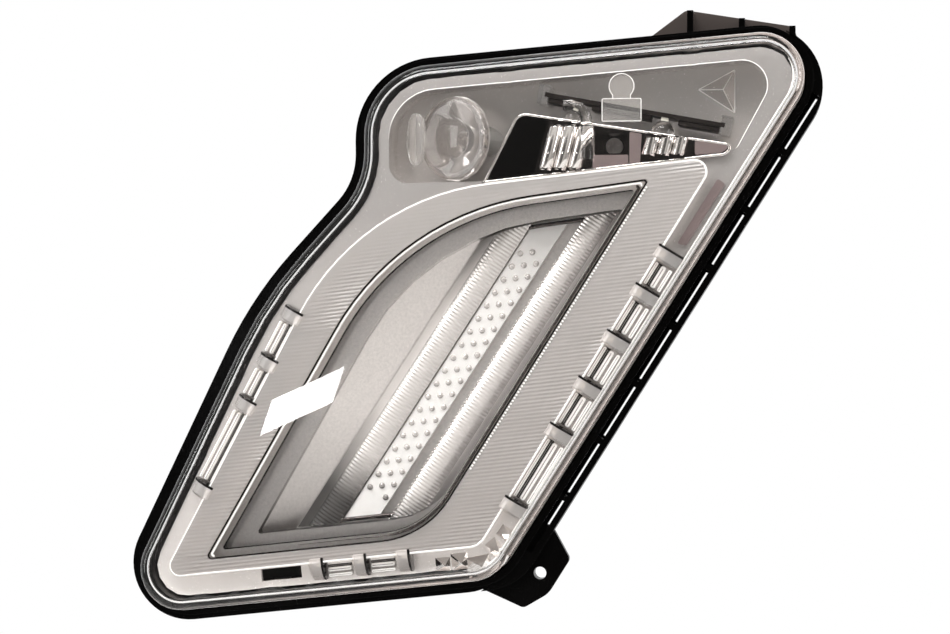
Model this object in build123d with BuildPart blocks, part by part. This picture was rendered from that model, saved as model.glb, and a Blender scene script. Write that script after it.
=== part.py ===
from build123d import *
import math
import os

os.makedirs("parts", exist_ok=True)

# Rim outline corners seen from the front (x right, z up), from the lower left round to the shoulder
rim_corners = [(-166, -23), (-16.2, -6.1), (113.7, 200.3), (-68, 185.5), (-67.5, 143), (-106.5, 100.5)]
rim_radii = [21, 20, 18, 30, 25, 150]
corner_turn = [-1, -1, -1, -1, 1, -1]
# Rim width in front of the lens: bottom, right, top, head, slope and left side
rim_land = [5, 1.4, 4, 5.2, 5.2, 6.4]
rim_lift = 4.0
flange_t = 2.5
flange_drop = 1.2
wall = 2.4
# How far the flat steps of an out-of-sight rounded corner fall inside its arc
sag = 0.3

# Groove for the lens foot
foot_clear = 0.8
lens_wall = 2.6
foot_depth = 5.0
bead_depth = 2.0
groove_floor = 2.2
groove_wall = 2.0

# Lens
lens_rise = 12.0
lens_crown = 3.5
lens_half_span = 75.0
lens_bevel = 3.2

# Tub behind the rim
tub_depth = 50.0
waist_depth = 28.0
tub_step = [7, 12, 7, 7, 8, 8]

# Ladder flange along the right side
ladder_width = 6.5
ladder_depth = 9.0
ladder_floor = 2.4
ladder_bite = 0.8
rail_w = 2.4
rail_drop = 1.0
web_t = 2.0
ladder_start = 17.6
ladder_pitch = 24.5
ladder_count = 8
slot_w = 1.0
slot_end = 0.8

# Lower tab, whose hole is the origin, and upper bracket
tab_corners = [(-26, -4), (-6, -12.8), (3, -7.5), (11, 5.2), (4.5, 17), (-10, 22)]
tab_radii = [0, 2.5, 8, 2.5, 0, 0]
tab_t = 3.0
tab_hole_r = 2.3
tab_boss_r = 5.0
tab_boss_t = 3.0
bracket_top = [(52.5, 204.8), (91.5, 198.2)]
bracket_corners = [(38, 181), (39.5, 195.2)] + bracket_top + [(93.6, 190.5), (93.6, 184)]
bracket_radii = [0, 0, 3, 3, 0, 0]
bracket_drop = 13.0
bracket_t = 3.0
bracket_rib_t = 2.2
bracket_rib_x = [54.5, 73, 91]
bracket_rib_foot = 184.0
bracket_rib_short = 1.0

# Main reflector, visor and frame
sheet_t = 2.0
recess_drop = 16.0
recess_corners = [(-54.5, 141.5), (-20, 142.2), (71, 152.7), (89, 186), (-54.5, 174.4)]
recess_radii = [7, 6, 4, 9, 18]
prism_corners = [(57, 176), (70, 167.5), (70, 183)]
prism_tip = (66, 175.5)
prism_h = 5.0
frame_t = 6.5
frame_clear = 0.35
frame_outer = [(-138, -2.7), (-20.5, 10.4), (65.2, 150), (-64.5, 136)]
frame_outer_radii = [4, 8, 4.5, 90]
frame_inner = [(-122, 4.1), (-40, 13.5), (41, 142.5), (-49.7, 130.4)]
frame_inner_radii = [1.5, 34, 1, 98]
rib_pitch = 4.0
rib_depth = 0.6
visor_left = -20.0
visor_right = 67.0
visor_top = [(72.5, 154.5), (-7, 167)]
visor_radii = [0, 0, 2, 5]
visor_t = 2.0
visor_gap = 0.4
flute_r = 2.6
flute_lean = 0.25
flute_groups = [(3, 146, 16.5), (40, 151, 6.5)]
well_at = (26.6, 155.2)
well_w = 12.0
well_h = 7.0
well_wall = 1.2
screw_head_r = 3.1
screw_head_h = 2.0
screw_r = 1.4
screw_bite = 10.0

# Couplers on the frame and the LED boards behind the ledge
left_spots = [35.8, 70.7, 88, 107.5]
right_spots = [18.5, 49.5, 69, 88.5, 108, 124]
lower_spots = [58, 74, 90]
coupler_reach = {"left": 5.0, "right": 6.5, "lower": 5.0}
coupler_len = 5.5
coupler_bite = 2.5
coupler_top = 0.45
link_gap = 0.8
link_reach = 0.65
link_h = 3.6
# Openings in the ledge beside the frame's edge, one between each two LEDs and one window below
gap_near = 0.8
gap_far = 2.8
window_span = (36.0, 51.0)
window_far = 5.2
board_t = 1.6
board_end = 8.0
board_sides = {"left": (-3.5, 4.5), "right": (-4.5, 3.5), "lower": (-4.5, 2.5)}
led_size = 2.6
led_h = 1.2
led_clear = 0.4

# Pocket and its bars
pocket_drop = 12.5
pocket_wall = 1.3
pocket_step = 3.0
pocket_in = [4.0, 0.3, 6.0, 7.5]
pocket_lip = 1.2
pocket_flange = 1.2
pocket_clear = 0.3
ramp_reach = 45.0
ramp_slope = 0.36
slant_foot = (-64.0, 23.5)
slant_head = (1.2, 124.0)
strip_w = 10.4
strip_h = 2.4
bar_w = 9.2
bar_bevel = 3.4
bar_h = 4.6
bar_gap = 0.5
bar_pitch = 3.0
bar_rib = 0.6
right_band = 4.2
dot_r = 1.45
dot_h = 0.9
dot_columns = 3
dot_rows = 19
dot_pitch = 5.7
dot_start = 3.0

# Marker lamp at the upper left
marker_at = (-31.5, 157.9)
marker_h = 1.5
marker_tilt = 30
marker_r = 15.0
marker_rim = 3.0
marker_step = 1.0
marker_len = 12.0
marker_back_r = 5.5
marker_lens_r = 6.7
marker_lens_h = 1.0
marker_well_r = 2.4
marker_well_d = 4.0
marker_sides = 20
cup_clear = 0.3
cup_wall = 1.2
side_at = (-46.0, 157.7)
side_h = 1.0
side_tilt = 60
side_r = 9.5
side_across = 7.0
side_t = 3.0
side_leg = 6.0

# Upper board
upper_left_end = (2.5, 173.5)
upper_right_end = (67.0, 161.6)
upper_board_d = 12.0
clip_w = 4.0
clip_h = 7.0
clip_grip = 1.5
clip_clear = 0.05
pipe_spots = [12.5, 44.0]
pipe_r = 4.0
pipe_neck = 2.2
pipe_len = 6.5
pipe_gap = 0.4
ear_at = (30.2, 176.0)
ear_r = 4.7
ear_w = 14.0
ear_neck = 6.4
ear_foot = [163.2, 171.5]
ear_t = 1.8

# Back of the housing
back_ribs = [
    ((-108, 15), (-57, 112)),
    ((-60, 15), (26, 138)),
    ((-72, 92), (-6, 92)),
    ((-56, 122), (14, 122)),
]
back_rib_t = 2.0
back_rib_h = 3.0
socket_at = (-62.0, 62.0)
socket_w = 24.0
socket_h = 13.0
socket_d = 15.0
socket_r = 3.0
pin_w = 1.0
pin_pitch = 4.0
pin_count = 4
driver_w = 56.0
driver_h = 36.0
standoff = 4.0
standoff_r = 3.4
driver_blocks = [(-13, 0, 10, 10, 1.6), (8, 8, 12, 12, 6), (3, -11.5, 10, 5, 2.5)]
driver_cans = [(-10, 12), (18, -8)]
can_r = 4.0
can_h = 9.0
vent_at = (-76.0, 28.0)
vent_r = 6.0
vent_bore_r = 3.0
vent_h = 5.0
cap_wall = 1.8
cap_gap = 0.6


def at(height):
    """Sketch plane parallel to the rim, a height in front of it."""
    return Plane.XZ.offset(rim_lift + height)


def along(start, end, height):
    """Sketch plane parallel to the rim whose x runs from one point towards another."""
    spot = (start[0], -(rim_lift + height), start[1])
    return Plane(origin=spot, x_dir=(end[0] - start[0], 0, end[1] - start[1]), z_dir=(0, -1, 0))


def moved_in(points, insets):
    """Corners of an outline whose sides are each moved inwards by their own distance."""
    count = len(points)
    sides = []
    for i in range(count):
        (x, z), (ex, ez) = points[i], points[(i + 1) % count]
        length = math.hypot(ex - x, ez - z)
        ux, uz = (ex - x) / length, (ez - z) / length
        sides.append((x - uz * insets[i], z + ux * insets[i], ux, uz))
    corners = []
    for i in range(count):
        x1, z1, ux1, uz1 = sides[i - 1]
        x2, z2, ux2, uz2 = sides[i]
        step = ((x2 - x1) * uz2 - (z2 - z1) * ux2) / (ux1 * uz2 - uz1 * ux2)
        corners.append((x1 + ux1 * step, z1 + uz1 * step))
    return corners


def facets(points, radii):
    """Corner points of an outline whose rounded corners are cut in flat steps."""
    cut = []
    for i, radius in enumerate(radii):
        corner = Vector(*points[i])
        to_last = (Vector(*points[i - 1]) - corner).normalized()
        to_next = (Vector(*points[(i + 1) % len(points)]) - corner).normalized()
        half = math.radians(to_last.get_angle(to_next)) / 2
        centre = corner + (to_last + to_next).normalized() * (radius / math.sin(half))
        first = corner + to_last * (radius / math.tan(half)) - centre
        last = corner + to_next * (radius / math.tan(half)) - centre
        sweep = math.pi - 2 * half
        count = math.ceil(sweep / (2 * math.acos(1 - sag / radius)))
        for k in range(count + 1):
            a = math.sin(sweep * (1 - k / count)) / math.sin(sweep)
            b = math.sin(sweep * k / count) / math.sin(sweep)
            spot = centre + first * a + last * b
            cut.append((spot.X, spot.Y))
    return cut


def area(plane, points, radii):
    """Face with rounded corners on a plane."""
    with BuildLine() as path:
        FilletPolyline(*points, radius=radii, close=True)
    with BuildSketch(plane) as face:
        make_face(path.edges())
    return face.sketch


def polygon(plane, points):
    """Straight-sided face on a plane."""
    with BuildLine() as path:
        Polyline(*points, close=True)
    with BuildSketch(plane) as face:
        make_face(path.edges())
    return face.sketch


def slab(plane, x0, x1, y0, y1):
    """Rectangle on a plane between two local x and two local y values."""
    return polygon(plane, [(x0, y0), (x1, y0), (x1, y1), (x0, y1)])


def block(plane, x, y, width, height):
    """Rectangle on a plane about a local point."""
    return slab(plane, x - width / 2, x + width / 2, y - height / 2, y + height / 2)


def disc(plane, x, y, radius, sides=0):
    """Round face on a plane, or a many-sided one for a small or hidden boss."""
    with BuildSketch(plane) as face:
        with Locations((x, y)):
            if sides:
                RegularPolygon(radius, sides)
            else:
                Circle(radius)
    return face.sketch


def ring_points(x, y, radius, sides):
    """Corners of a many-sided ring about a local point."""
    turns = [2 * math.pi * i / sides for i in range(sides)]
    return [(x + radius * math.cos(turn), y + radius * math.sin(turn)) for turn in turns]


def frustum(first, first_r, last, last_r, sides):
    """Flat-sided solid between two many-sided rings on parallel planes."""
    rings = []
    for plane, radius in ((first, first_r), (last, last_r)):
        rings.append([plane.from_local_coords(spot) for spot in ring_points(0, 0, radius, sides)])
    faces = [Face(Wire.make_polygon(ring)) for ring in rings]
    for i in range(sides):
        quad = [rings[0][i - 1], rings[0][i], rings[1][i], rings[1][i - 1]]
        faces.append(Face(Wire.make_polygon(quad)))
    return Solid(Shell(faces))


def pyramid(plane, points, tip):
    """Flat-sided solid from a straight-sided base on a plane up to a tip in front of it."""
    base = [plane.from_local_coords(point) for point in points]
    top = plane.from_local_coords(tip)
    faces = [Face(Wire.make_polygon(base))]
    for i in range(len(base)):
        faces.append(Face(Wire.make_polygon([base[i - 1], base[i], top])))
    return Solid(Shell(faces))


def rim_area(height, inset, extra=(0, 0, 0, 0, 0, 0), stepped=False):
    """Face of the lens line (inside the rim land) moved in, some sides further."""
    moves = [land + inset + more for land, more in zip(rim_land, extra)]
    radii = []
    for i in range(len(rim_radii)):
        mean = (moves[i - 1] + moves[i]) / 2
        radii.append(max(rim_radii[i] + corner_turn[i] * mean, 2.0))
    corners = moved_in(rim_corners, moves)
    if stepped:
        return polygon(at(height), facets(corners, radii))
    return area(at(height), corners, radii)


def tray_area(height, inset, extra=(0, 0, 0, 0), stepped=False):
    """Face of the frame's opening moved in, some sides further."""
    moves = [inset + more for more in extra]
    radii = []
    for i in range(len(frame_inner_radii)):
        mean = (moves[i - 1] + moves[i]) / 2
        radii.append(max(frame_inner_radii[i] - mean, 0.8))
    corners = moved_in(frame_inner, moves)
    if stepped:
        return polygon(at(height), facets(corners, radii))
    return area(at(height), corners, radii)


# Heights in front of the rim plane, and insets from the lens line
groove_depth = foot_depth + bead_depth
trough_depth = groove_depth + groove_floor
groove_in = lens_wall + foot_clear
cavity_in = groove_in + groove_wall
tub_in = cavity_in - wall
ledge = sheet_t
frame_front = ledge + frame_t
pocket_floor = -pocket_drop
recess_floor = -recess_drop
recess_back = recess_floor - sheet_t
well_floor = recess_floor + sheet_t
well_seat = well_floor + sheet_t
back_inside = -(tub_depth - wall)
driver_back = back_inside + standoff
driver_front = driver_back + board_t

# Places shared by more than one piece
right_low, right_high = rim_corners[1], rim_corners[2]
right_len = math.dist(right_low, right_high)
reach = 3 * right_len
plug_x, plug_z = socket_at
well_x, well_z = well_at
posts = []
for side in (-1, 1):
    post_x = plug_x + side * (driver_w / 2 - standoff_r)
    posts.append((post_x, plug_z + side * (driver_h / 2 - standoff_r)))
pins = [plug_x + (i - (pin_count - 1) / 2) * pin_pitch for i in range(pin_count)]

# Ladder: a channel with webs beside the right edge of the rim, slotted along its outer rail
flange_corners = moved_in(rim_corners, [0, -ladder_width, 0, 0, 0, 0])
flange_radii = [r + grow for r, grow in zip(rim_radii, (0, 2, 4, 0, 0, 0))]
with BuildPart() as ladder:
    extrude(area(at(-rail_drop), flange_corners, flange_radii), amount=rail_drop - ladder_depth)
    inner_edge = moved_in(rim_corners, [-1, ladder_bite, -1, -1, -1, -1])
    extrude(area(at(0), inner_edge, rim_radii), amount=-2 * ladder_depth, mode=Mode.SUBTRACT)
    rail_top = along(right_low, right_high, -rail_drop)
    rail_in = rail_w - ladder_width
    channel_d = ladder_depth - ladder_floor - rail_drop
    for i in range(ladder_count):
        x0 = ladder_start + i * ladder_pitch + web_t / 2
        x1 = x0 + ladder_pitch - web_t
        extrude(slab(rail_top, x0, x1, rail_in, 0), amount=-channel_d, mode=Mode.SUBTRACT)
        slot = slab(rail_top, x0 + slot_end, x1 - slot_end, rail_in, rail_in + slot_w)
        extrude(slot, amount=-2 * ladder_depth, mode=Mode.SUBTRACT)

# Housing: one black moulding
bracket_slope = (bracket_top[1][1] - bracket_top[0][1]) / (bracket_top[1][0] - bracket_top[0][0])
level = [0] * len(rim_land)
with BuildPart() as housing:
    extrude(area(at(-flange_drop), rim_corners, rim_radii), amount=-flange_t)
    extrude(rim_area(0, -foot_clear - wall), amount=-trough_depth)
    extrude(rim_area(-trough_depth, tub_in, level, True), amount=trough_depth - waist_depth)
    extrude(rim_area(-waist_depth, tub_in, tub_step, True), amount=waist_depth - tub_depth)
    add(ladder.part)
    # Upper bracket and its ribs
    extrude(area(at(-bracket_drop), bracket_corners, bracket_radii), amount=-bracket_t)
    for x in bracket_rib_x:
        top = bracket_top[0][1] + (x - bracket_top[0][0]) * bracket_slope - bracket_rib_short
        rib = slab(at(-bracket_drop), x - bracket_rib_t / 2, x + bracket_rib_t / 2, bracket_rib_foot, top)
        extrude(rib, amount=bracket_drop - flange_drop - flange_t / 2)
    # Lower tab
    extrude(area(at(-rim_lift), tab_corners, tab_radii), amount=-tab_t)
    extrude(disc(at(-rim_lift - tab_t), 0, 0, tab_boss_r), amount=-tab_boss_t)
    # Ribs, plug socket and vent spigot on the back
    for start, end in back_ribs:
        rib = slab(along(start, end, -tub_depth), 0, math.dist(start, end), -back_rib_t / 2, back_rib_t / 2)
        extrude(rib, amount=-back_rib_h)
    outer_w, outer_h = socket_w / 2 + wall, socket_h / 2 + wall
    shroud = [(plug_x + i * outer_w, plug_z + k * outer_h) for i, k in ((-1, -1), (1, -1), (1, 1), (-1, 1))]
    extrude(area(at(-tub_depth), shroud, [socket_r] * 4), amount=-socket_d)
    extrude(disc(at(-tub_depth), *vent_at, vent_r, 16), amount=-vent_h)
    # Hollow out: lens groove, tub, socket and bores
    extrude(rim_area(0, -foot_clear, level, True), amount=-groove_depth, mode=Mode.SUBTRACT)
    extrude(rim_area(-groove_depth, groove_in, level, True), amount=groove_depth)
    extrude(rim_area(0, cavity_in, level, True), amount=wall - waist_depth, mode=Mode.SUBTRACT)
    extrude(rim_area(0, cavity_in, tub_step, True), amount=back_inside, mode=Mode.SUBTRACT)
    mouth = block(at(-tub_depth - socket_d), plug_x, plug_z, socket_w, socket_h)
    extrude(mouth, amount=socket_d, mode=Mode.SUBTRACT)
    extrude(disc(at(0), *vent_at, vent_bore_r, 8), amount=-tub_depth - vent_h, mode=Mode.SUBTRACT)
    extrude(disc(at(0), 0, 0, tab_hole_r), amount=-tub_depth, mode=Mode.SUBTRACT)
    # Posts for the driver board and the visor screw
    for x, z in posts:
        extrude(disc(at(back_inside), x, z, standoff_r, 8), amount=standoff)
        extrude(disc(at(driver_back), x, z, screw_r, 8), amount=-standoff, mode=Mode.SUBTRACT)
    extrude(disc(at(back_inside), well_x, well_z, 2.6 * screw_r, 8), amount=recess_back - back_inside)
    extrude(disc(at(recess_back), well_x, well_z, screw_r, 8), amount=-screw_bite, mode=Mode.SUBTRACT)
    for x in pins:
        hole = block(at(0), x, plug_z, pin_w, pin_w)
        extrude(hole, amount=-tub_depth - wall, mode=Mode.SUBTRACT)
housing.part.label = "housing"
export_step(housing.part, "parts/housing.step")

# Sealant bead under the lens foot
with BuildPart() as lens_sealant:
    extrude(rim_area(-groove_depth, 0, level, True), amount=bead_depth)
    extrude(rim_area(-groove_depth, lens_wall, level, True), amount=bead_depth, mode=Mode.SUBTRACT)
lens_sealant.part.label = "lens_sealant"
export_step(lens_sealant.part, "parts/lens_sealant.step")

# Slant that the lens crown, the strip and the bars follow
slant_len = math.dist(slant_foot, slant_head)
slant_ux = (slant_head[0] - slant_foot[0]) / slant_len
slant_uz = (slant_head[1] - slant_foot[1]) / slant_len


def slant_side(left):
    """Plane along the slant at a distance left of the strip's centre; its y is the height."""
    spot = (slant_foot[0] - slant_uz * left, -rim_lift, slant_foot[1] + slant_ux * left)
    return Plane(origin=spot, x_dir=(slant_ux, 0, slant_uz), z_dir=(slant_uz, 0, -slant_ux))


def slant_section(start):
    """Plane across the slant: x is the distance left of the strip's centre, y the height."""
    spot = (slant_foot[0] + slant_ux * start, -rim_lift, slant_foot[1] + slant_uz * start)
    return Plane(origin=spot, x_dir=(-slant_uz, 0, slant_ux), z_dir=(slant_ux, 0, slant_uz))


def ribbed(low, high, start, end, pitch, depth):
    """Side view of a ribbed bar: flat below, saw-toothed above."""
    points = [(start, low)]
    count = round((end - start) / pitch)
    for i in range(count):
        points.append((start + i * pitch, high - depth))
        points.append((start + (i + 0.5) * pitch, high))
    points.append((start + count * pitch, high - depth))
    points.append((start + count * pitch, low))
    return points


# Outer lens: a cap with a bevelled edge, crowned about the slant
crown_r = (lens_half_span**2 + lens_crown**2) / (2 * lens_crown)
lens_shapes = []
for inset in (0, lens_wall):
    with BuildPart() as lens_shape:
        lens_up = foot_depth + lens_rise + 2 * lens_crown
        extrude(rim_area(-foot_depth, inset, level, inset > 0), amount=lens_up)
        top = lens_rise + lens_crown - inset
        crown = disc(slant_section(-reach / 2), 0, top - crown_r, crown_r)
        extrude(crown, amount=reach, mode=Mode.INTERSECT)
        if inset == 0:
            face = lens_shape.faces().filter_by(GeomType.CYLINDER).sort_by(Axis.Y)[0]
            chamfer(face.edges(), lens_bevel)
    lens_shapes.append(lens_shape.part)
with BuildPart() as outer_lens:
    add(lens_shapes[0])
    add(lens_shapes[1], mode=Mode.SUBTRACT)
outer_lens.part.label = "outer_lens"
export_step(outer_lens.part, "parts/outer_lens.step")

# LED rows behind the ledge: name, start and end of the frame's side, distances along it, way out
left_low, right_foot, right_head, left_high = frame_outer
led_rows = [
    ("left", left_low, left_high, left_spots, 1),
    ("right", right_foot, right_head, right_spots, -1),
    ("lower", left_low, right_foot, lower_spots, -1),
]

# Main reflector: ledge all round, open for the pocket, with a deep recess above
with BuildPart() as main_reflector:
    extrude(rim_area(0, groove_in + foot_clear, level, True), amount=sheet_t)
    shell = facets(moved_in(recess_corners, [-sheet_t] * 5), [r + sheet_t for r in recess_radii])
    extrude(polygon(at(0), shell), amount=recess_back)
    extrude(area(at(ledge), recess_corners, recess_radii), amount=recess_floor - ledge, mode=Mode.SUBTRACT)
    add(pyramid(at(recess_floor), prism_corners, (*prism_tip, prism_h)))
    opening = tray_area(0, frame_clear + pocket_flange - pocket_clear, stepped=True)
    extrude(opening, amount=sheet_t, mode=Mode.SUBTRACT)
    led_hole = led_size + 2 * led_clear
    for name, start, end, spots, out in led_rows:
        side = along(start, end, 0)
        for s in spots:
            extrude(block(side, s, 0, led_hole, led_hole), amount=sheet_t, mode=Mode.SUBTRACT)
        gap_sides = sorted((out * gap_near, out * gap_far))
        for s, after in zip(spots, spots[1:]):
            gap = slab(side, s + led_hole, after - led_hole, *gap_sides)
            extrude(gap, amount=sheet_t, mode=Mode.SUBTRACT)
    window = slab(along(left_low, right_foot, 0), *window_span, -window_far, -gap_near)
    extrude(window, amount=sheet_t, mode=Mode.SUBTRACT)
    extrude(disc(at(0), well_x, well_z, screw_r, 8), amount=2 * recess_floor, mode=Mode.SUBTRACT)
main_reflector.part.label = "main_reflector"
export_step(main_reflector.part, "parts/main_reflector.step")


def across_plane(start, end, distance):
    """Plane across a side of the frame: x is the distance to its left, y the height above the ledge."""
    length = math.dist(start, end)
    ux, uz = (end[0] - start[0]) / length, (end[1] - start[1]) / length
    spot = (start[0] + ux * distance, -(rim_lift + ledge), start[1] + uz * distance)
    return Plane(origin=spot, x_dir=(-uz, 0, ux), z_dir=(ux, 0, uz))


# Light-guide frame: clear, ribbed across, with couplers along three sides and links between them
coupler_h = frame_t - 2 * rib_depth
with BuildPart() as light_frame:
    extrude(area(at(ledge), frame_outer, frame_outer_radii), amount=frame_t)
    extrude(area(at(ledge), frame_inner, frame_inner_radii), amount=frame_t, mode=Mode.SUBTRACT)
    low = min(z for x, z in frame_outer) - 2 * rib_pitch
    high = max(z for x, z in frame_outer) + 2 * rib_pitch
    teeth = [(-rim_lift - h, z) for z, h in ribbed(ledge, frame_front, low, high, rib_pitch, rib_depth)]
    extrude(polygon(Plane.YZ, teeth), amount=reach, both=True, mode=Mode.INTERSECT)
    for name, start, end, spots, out in led_rows:
        near, far = -coupler_bite * out, coupler_reach[name] * out
        slope = [(far, 0.3 * coupler_h), (coupler_top * far, coupler_h)]
        profile = [(near, 0), (far, 0)] + slope + [(near, coupler_h)]
        for s in spots:
            extrude(polygon(across_plane(start, end, s - coupler_len / 2), profile), amount=coupler_len)
        edge = sorted((0.4 * near, link_reach * far))
        for s, after in zip(spots, spots[1:]):
            inset = coupler_len / 2 + link_gap
            extrude(slab(along(start, end, ledge), s + inset, after - inset, *edge), amount=link_h)
light_frame.part.label = "light_frame"
export_step(light_frame.part, "parts/light_frame.step")

# LED boards behind the ledge with their LEDs
for name, start, end, spots, out in led_rows:
    with BuildPart() as led_board:
        ends = (spots[0] - board_end, spots[-1] + board_end)
        extrude(slab(along(start, end, 0), *ends, *board_sides[name]), amount=-board_t)
    led_board.part.label = name + "_led_board"
    export_step(led_board.part, "parts/" + name + "_led_board.step")
    with BuildPart() as leds:
        for s in spots:
            extrude(block(along(start, end, 0), s, 0, led_size, led_size), amount=led_h)
    leds.part.label = name + "_leds"
    export_step(leds.part, "parts/" + name + "_leds.step")


def frame_top(x):
    """Height z of the frame's upper edge."""
    rise = (right_head[1] - left_high[1]) / (right_head[0] - left_high[0])
    return right_head[1] + (x - right_head[0]) * rise


# Visor over the recess, fluted, with a well for its screw
low_left = (visor_left, frame_top(visor_left) + visor_gap)
low_right = (visor_right, frame_top(visor_right) + visor_gap)
with BuildPart() as visor:
    extrude(area(at(ledge), [low_left, low_right] + visor_top, visor_radii), amount=visor_t)
    for x, z, length in flute_groups:
        for i in range(3):
            spot = (x + i * 2 * flute_r, -(rim_lift + ledge + visor_t), z)
            foot = Plane(origin=spot, z_dir=(flute_lean, 0, 1))
            extrude(disc(foot, 0, 0, flute_r, 10), amount=length)
    extrude(slab(at(ledge), -reach, reach, 0, reach), amount=-recess_drop, mode=Mode.SUBTRACT)
    well_face = block(at(well_floor), well_x, well_z, well_w + 2 * well_wall, well_h + 2 * well_wall)
    extrude(well_face, amount=ledge + visor_t - well_floor)
    hollow = block(at(well_seat), well_x, well_z, well_w, well_h)
    extrude(hollow, amount=2 * recess_drop, mode=Mode.SUBTRACT)
    extrude(disc(at(well_floor), well_x, well_z, screw_r, 8), amount=sheet_t, mode=Mode.SUBTRACT)
visor.part.label = "visor"
export_step(visor.part, "parts/visor.step")

# Screw that holds the visor and the main reflector
with BuildPart() as visor_screw:
    extrude(disc(at(well_seat), well_x, well_z, screw_head_r, 20), amount=screw_head_h)
    cross = 1.3 * screw_head_r
    for w, h in ((cross, cross / 4), (cross / 4, cross)):
        slot_face = block(at(well_seat + screw_head_h), well_x, well_z, w, h)
        extrude(slot_face, amount=-0.6 * screw_head_h, mode=Mode.SUBTRACT)
    extrude(disc(at(well_seat), well_x, well_z, screw_r, 8), amount=-screw_bite)
visor_screw.part.label = "visor_screw"
export_step(visor_screw.part, "parts/visor_screw.step")

# Pocket reflector: tray with a lip on the ledge and a ramp on its left
tray_out = frame_clear + pocket_flange
tray_in = tray_out + pocket_wall


def pocket_space(clear):
    """Solid that fills the tray, short of its walls by a clearance."""
    with BuildPart() as space:
        upper = ledge + pocket_lip
        extrude(tray_area(upper, tray_in + clear), amount=-pocket_step - upper)
        lower = tray_area(-pocket_step, tray_in + clear, pocket_in, True)
        extrude(lower, amount=pocket_floor + pocket_step)
    return space.part


strip_left = strip_w / 2
bar_left = strip_left + bar_gap
ramp_from = bar_left + bar_w + bar_bevel + bar_gap
ramp_to = ramp_from + ramp_reach
with BuildPart() as ramp:
    add(pocket_space(0))
    ramp_top = pocket_floor + ramp_slope * ramp_reach
    wedge = [(ramp_from, pocket_floor), (ramp_to, pocket_floor), (ramp_to, ramp_top)]
    extrude(polygon(slant_section(-slant_len), wedge), amount=3 * slant_len, mode=Mode.INTERSECT)
with BuildPart() as pocket_reflector:
    extrude(tray_area(ledge, frame_clear, stepped=True), amount=pocket_lip)
    extrude(tray_area(ledge, tray_out, stepped=True), amount=-ledge - pocket_step - pocket_wall)
    lower_d = pocket_drop - pocket_step + pocket_wall
    extrude(tray_area(-pocket_step, tray_out, pocket_in, True), amount=-lower_d)
    add(pocket_space(0), mode=Mode.SUBTRACT)
    add(ramp.part)
pocket_reflector.part.label = "pocket_reflector"
export_step(pocket_reflector.part, "parts/pocket_reflector.step")

# Ribbed bars on the tray floor
bar_top = pocket_floor + bar_h
right_edge = -(strip_left + right_band)
bars = [
    ("left_bar", bar_left, bar_left + bar_w, 1),
    ("right_bar", right_edge - bar_w, right_edge - bar_w, -1),
]
for name, start, edge, out in bars:
    with BuildPart() as bar:
        side = ribbed(pocket_floor, bar_top, -slant_len / 3, 4 * slant_len / 3, bar_pitch, bar_rib)
        extrude(polygon(slant_side(start + bar_w), side), amount=bar_w)
        bevel = [(edge, pocket_floor), (edge + out * bar_bevel, pocket_floor), (edge, bar_top - bar_rib)]
        extrude(polygon(slant_section(-slant_len / 3), bevel), amount=5 * slant_len / 3)
        add(pocket_space(bar_gap), mode=Mode.INTERSECT)
    bar.part.label = name
    export_step(bar.part, "parts/" + name + ".step")

# Dotted strip between the bars
strip_top = along(slant_foot, slant_head, pocket_floor + strip_h)
dots = []
for row in range(dot_rows):
    for column in range(dot_columns):
        s = dot_start + (row + 0.5 + 0.5 * (column % 2)) * dot_pitch
        t = (column - (dot_columns - 1) / 2) * strip_w / dot_columns
        dots.append(pyramid(strip_top, ring_points(s, t, dot_r, 6), (s, t, dot_h)))
with BuildPart() as dotted_strip:
    across = slant_section(-slant_len / 3)
    strip = slab(across, -strip_left, strip_left, pocket_floor, pocket_floor + strip_h)
    extrude(strip, amount=5 * slant_len / 3)
    add(pocket_space(bar_gap), mode=Mode.INTERSECT)
    add(dots)
dotted_strip.part.label = "dotted_strip"
export_step(dotted_strip.part, "parts/dotted_strip.step")


def tilted(spot, height, tilt, back):
    """Plane across an axis that leans to the left; back is the distance behind its front."""
    lean = math.radians(tilt)
    front = Plane(
        origin=(spot[0], -(rim_lift + height), spot[1]),
        x_dir=(0, 0, 1),
        z_dir=(-math.sin(lean), -math.cos(lean), 0),
    )
    return front.offset(-back)


# Marker lamp: collimator in a cup on a small board and holder
marker_board = marker_len + cup_clear + led_h
cup_r = marker_r - marker_step + cup_clear
cone_slope = (marker_r - marker_step - marker_back_r) / (marker_len - marker_rim)
cup_back_r = cup_r - (marker_board - marker_rim) * cone_slope


def marker_plane(back):
    """Plane across the marker's axis, a distance behind its front."""
    return tilted(marker_at, marker_h, marker_tilt, back)


def marker_disc(back, radius):
    """Many-sided face across the marker's axis."""
    return disc(marker_plane(back), 0, 0, radius, marker_sides)


def marker_cone(back, radius, end, end_radius):
    """Flat-sided cone along the marker's axis."""
    return frustum(marker_plane(back), radius, marker_plane(end), end_radius, marker_sides)


with BuildPart() as marker_collimator:
    extrude(marker_disc(0, marker_r), amount=-marker_rim)
    add(marker_cone(marker_rim, marker_r - marker_step, marker_len, marker_back_r))
    add(marker_cone(-marker_lens_h, 0.78 * marker_lens_r, 0, marker_lens_r))
    extrude(marker_disc(marker_len, marker_well_r), amount=marker_well_d, mode=Mode.SUBTRACT)
marker_collimator.part.label = "marker_collimator"
export_step(marker_collimator.part, "parts/marker_collimator.step")

with BuildPart() as marker_cup:
    add(marker_cone(marker_rim, cup_r + cup_wall, marker_board, cup_back_r + cup_wall))
    add(marker_cone(marker_rim, cup_r, marker_board, cup_back_r), mode=Mode.SUBTRACT)
marker_cup.part.label = "marker_cup"
export_step(marker_cup.part, "parts/marker_cup.step")

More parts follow.
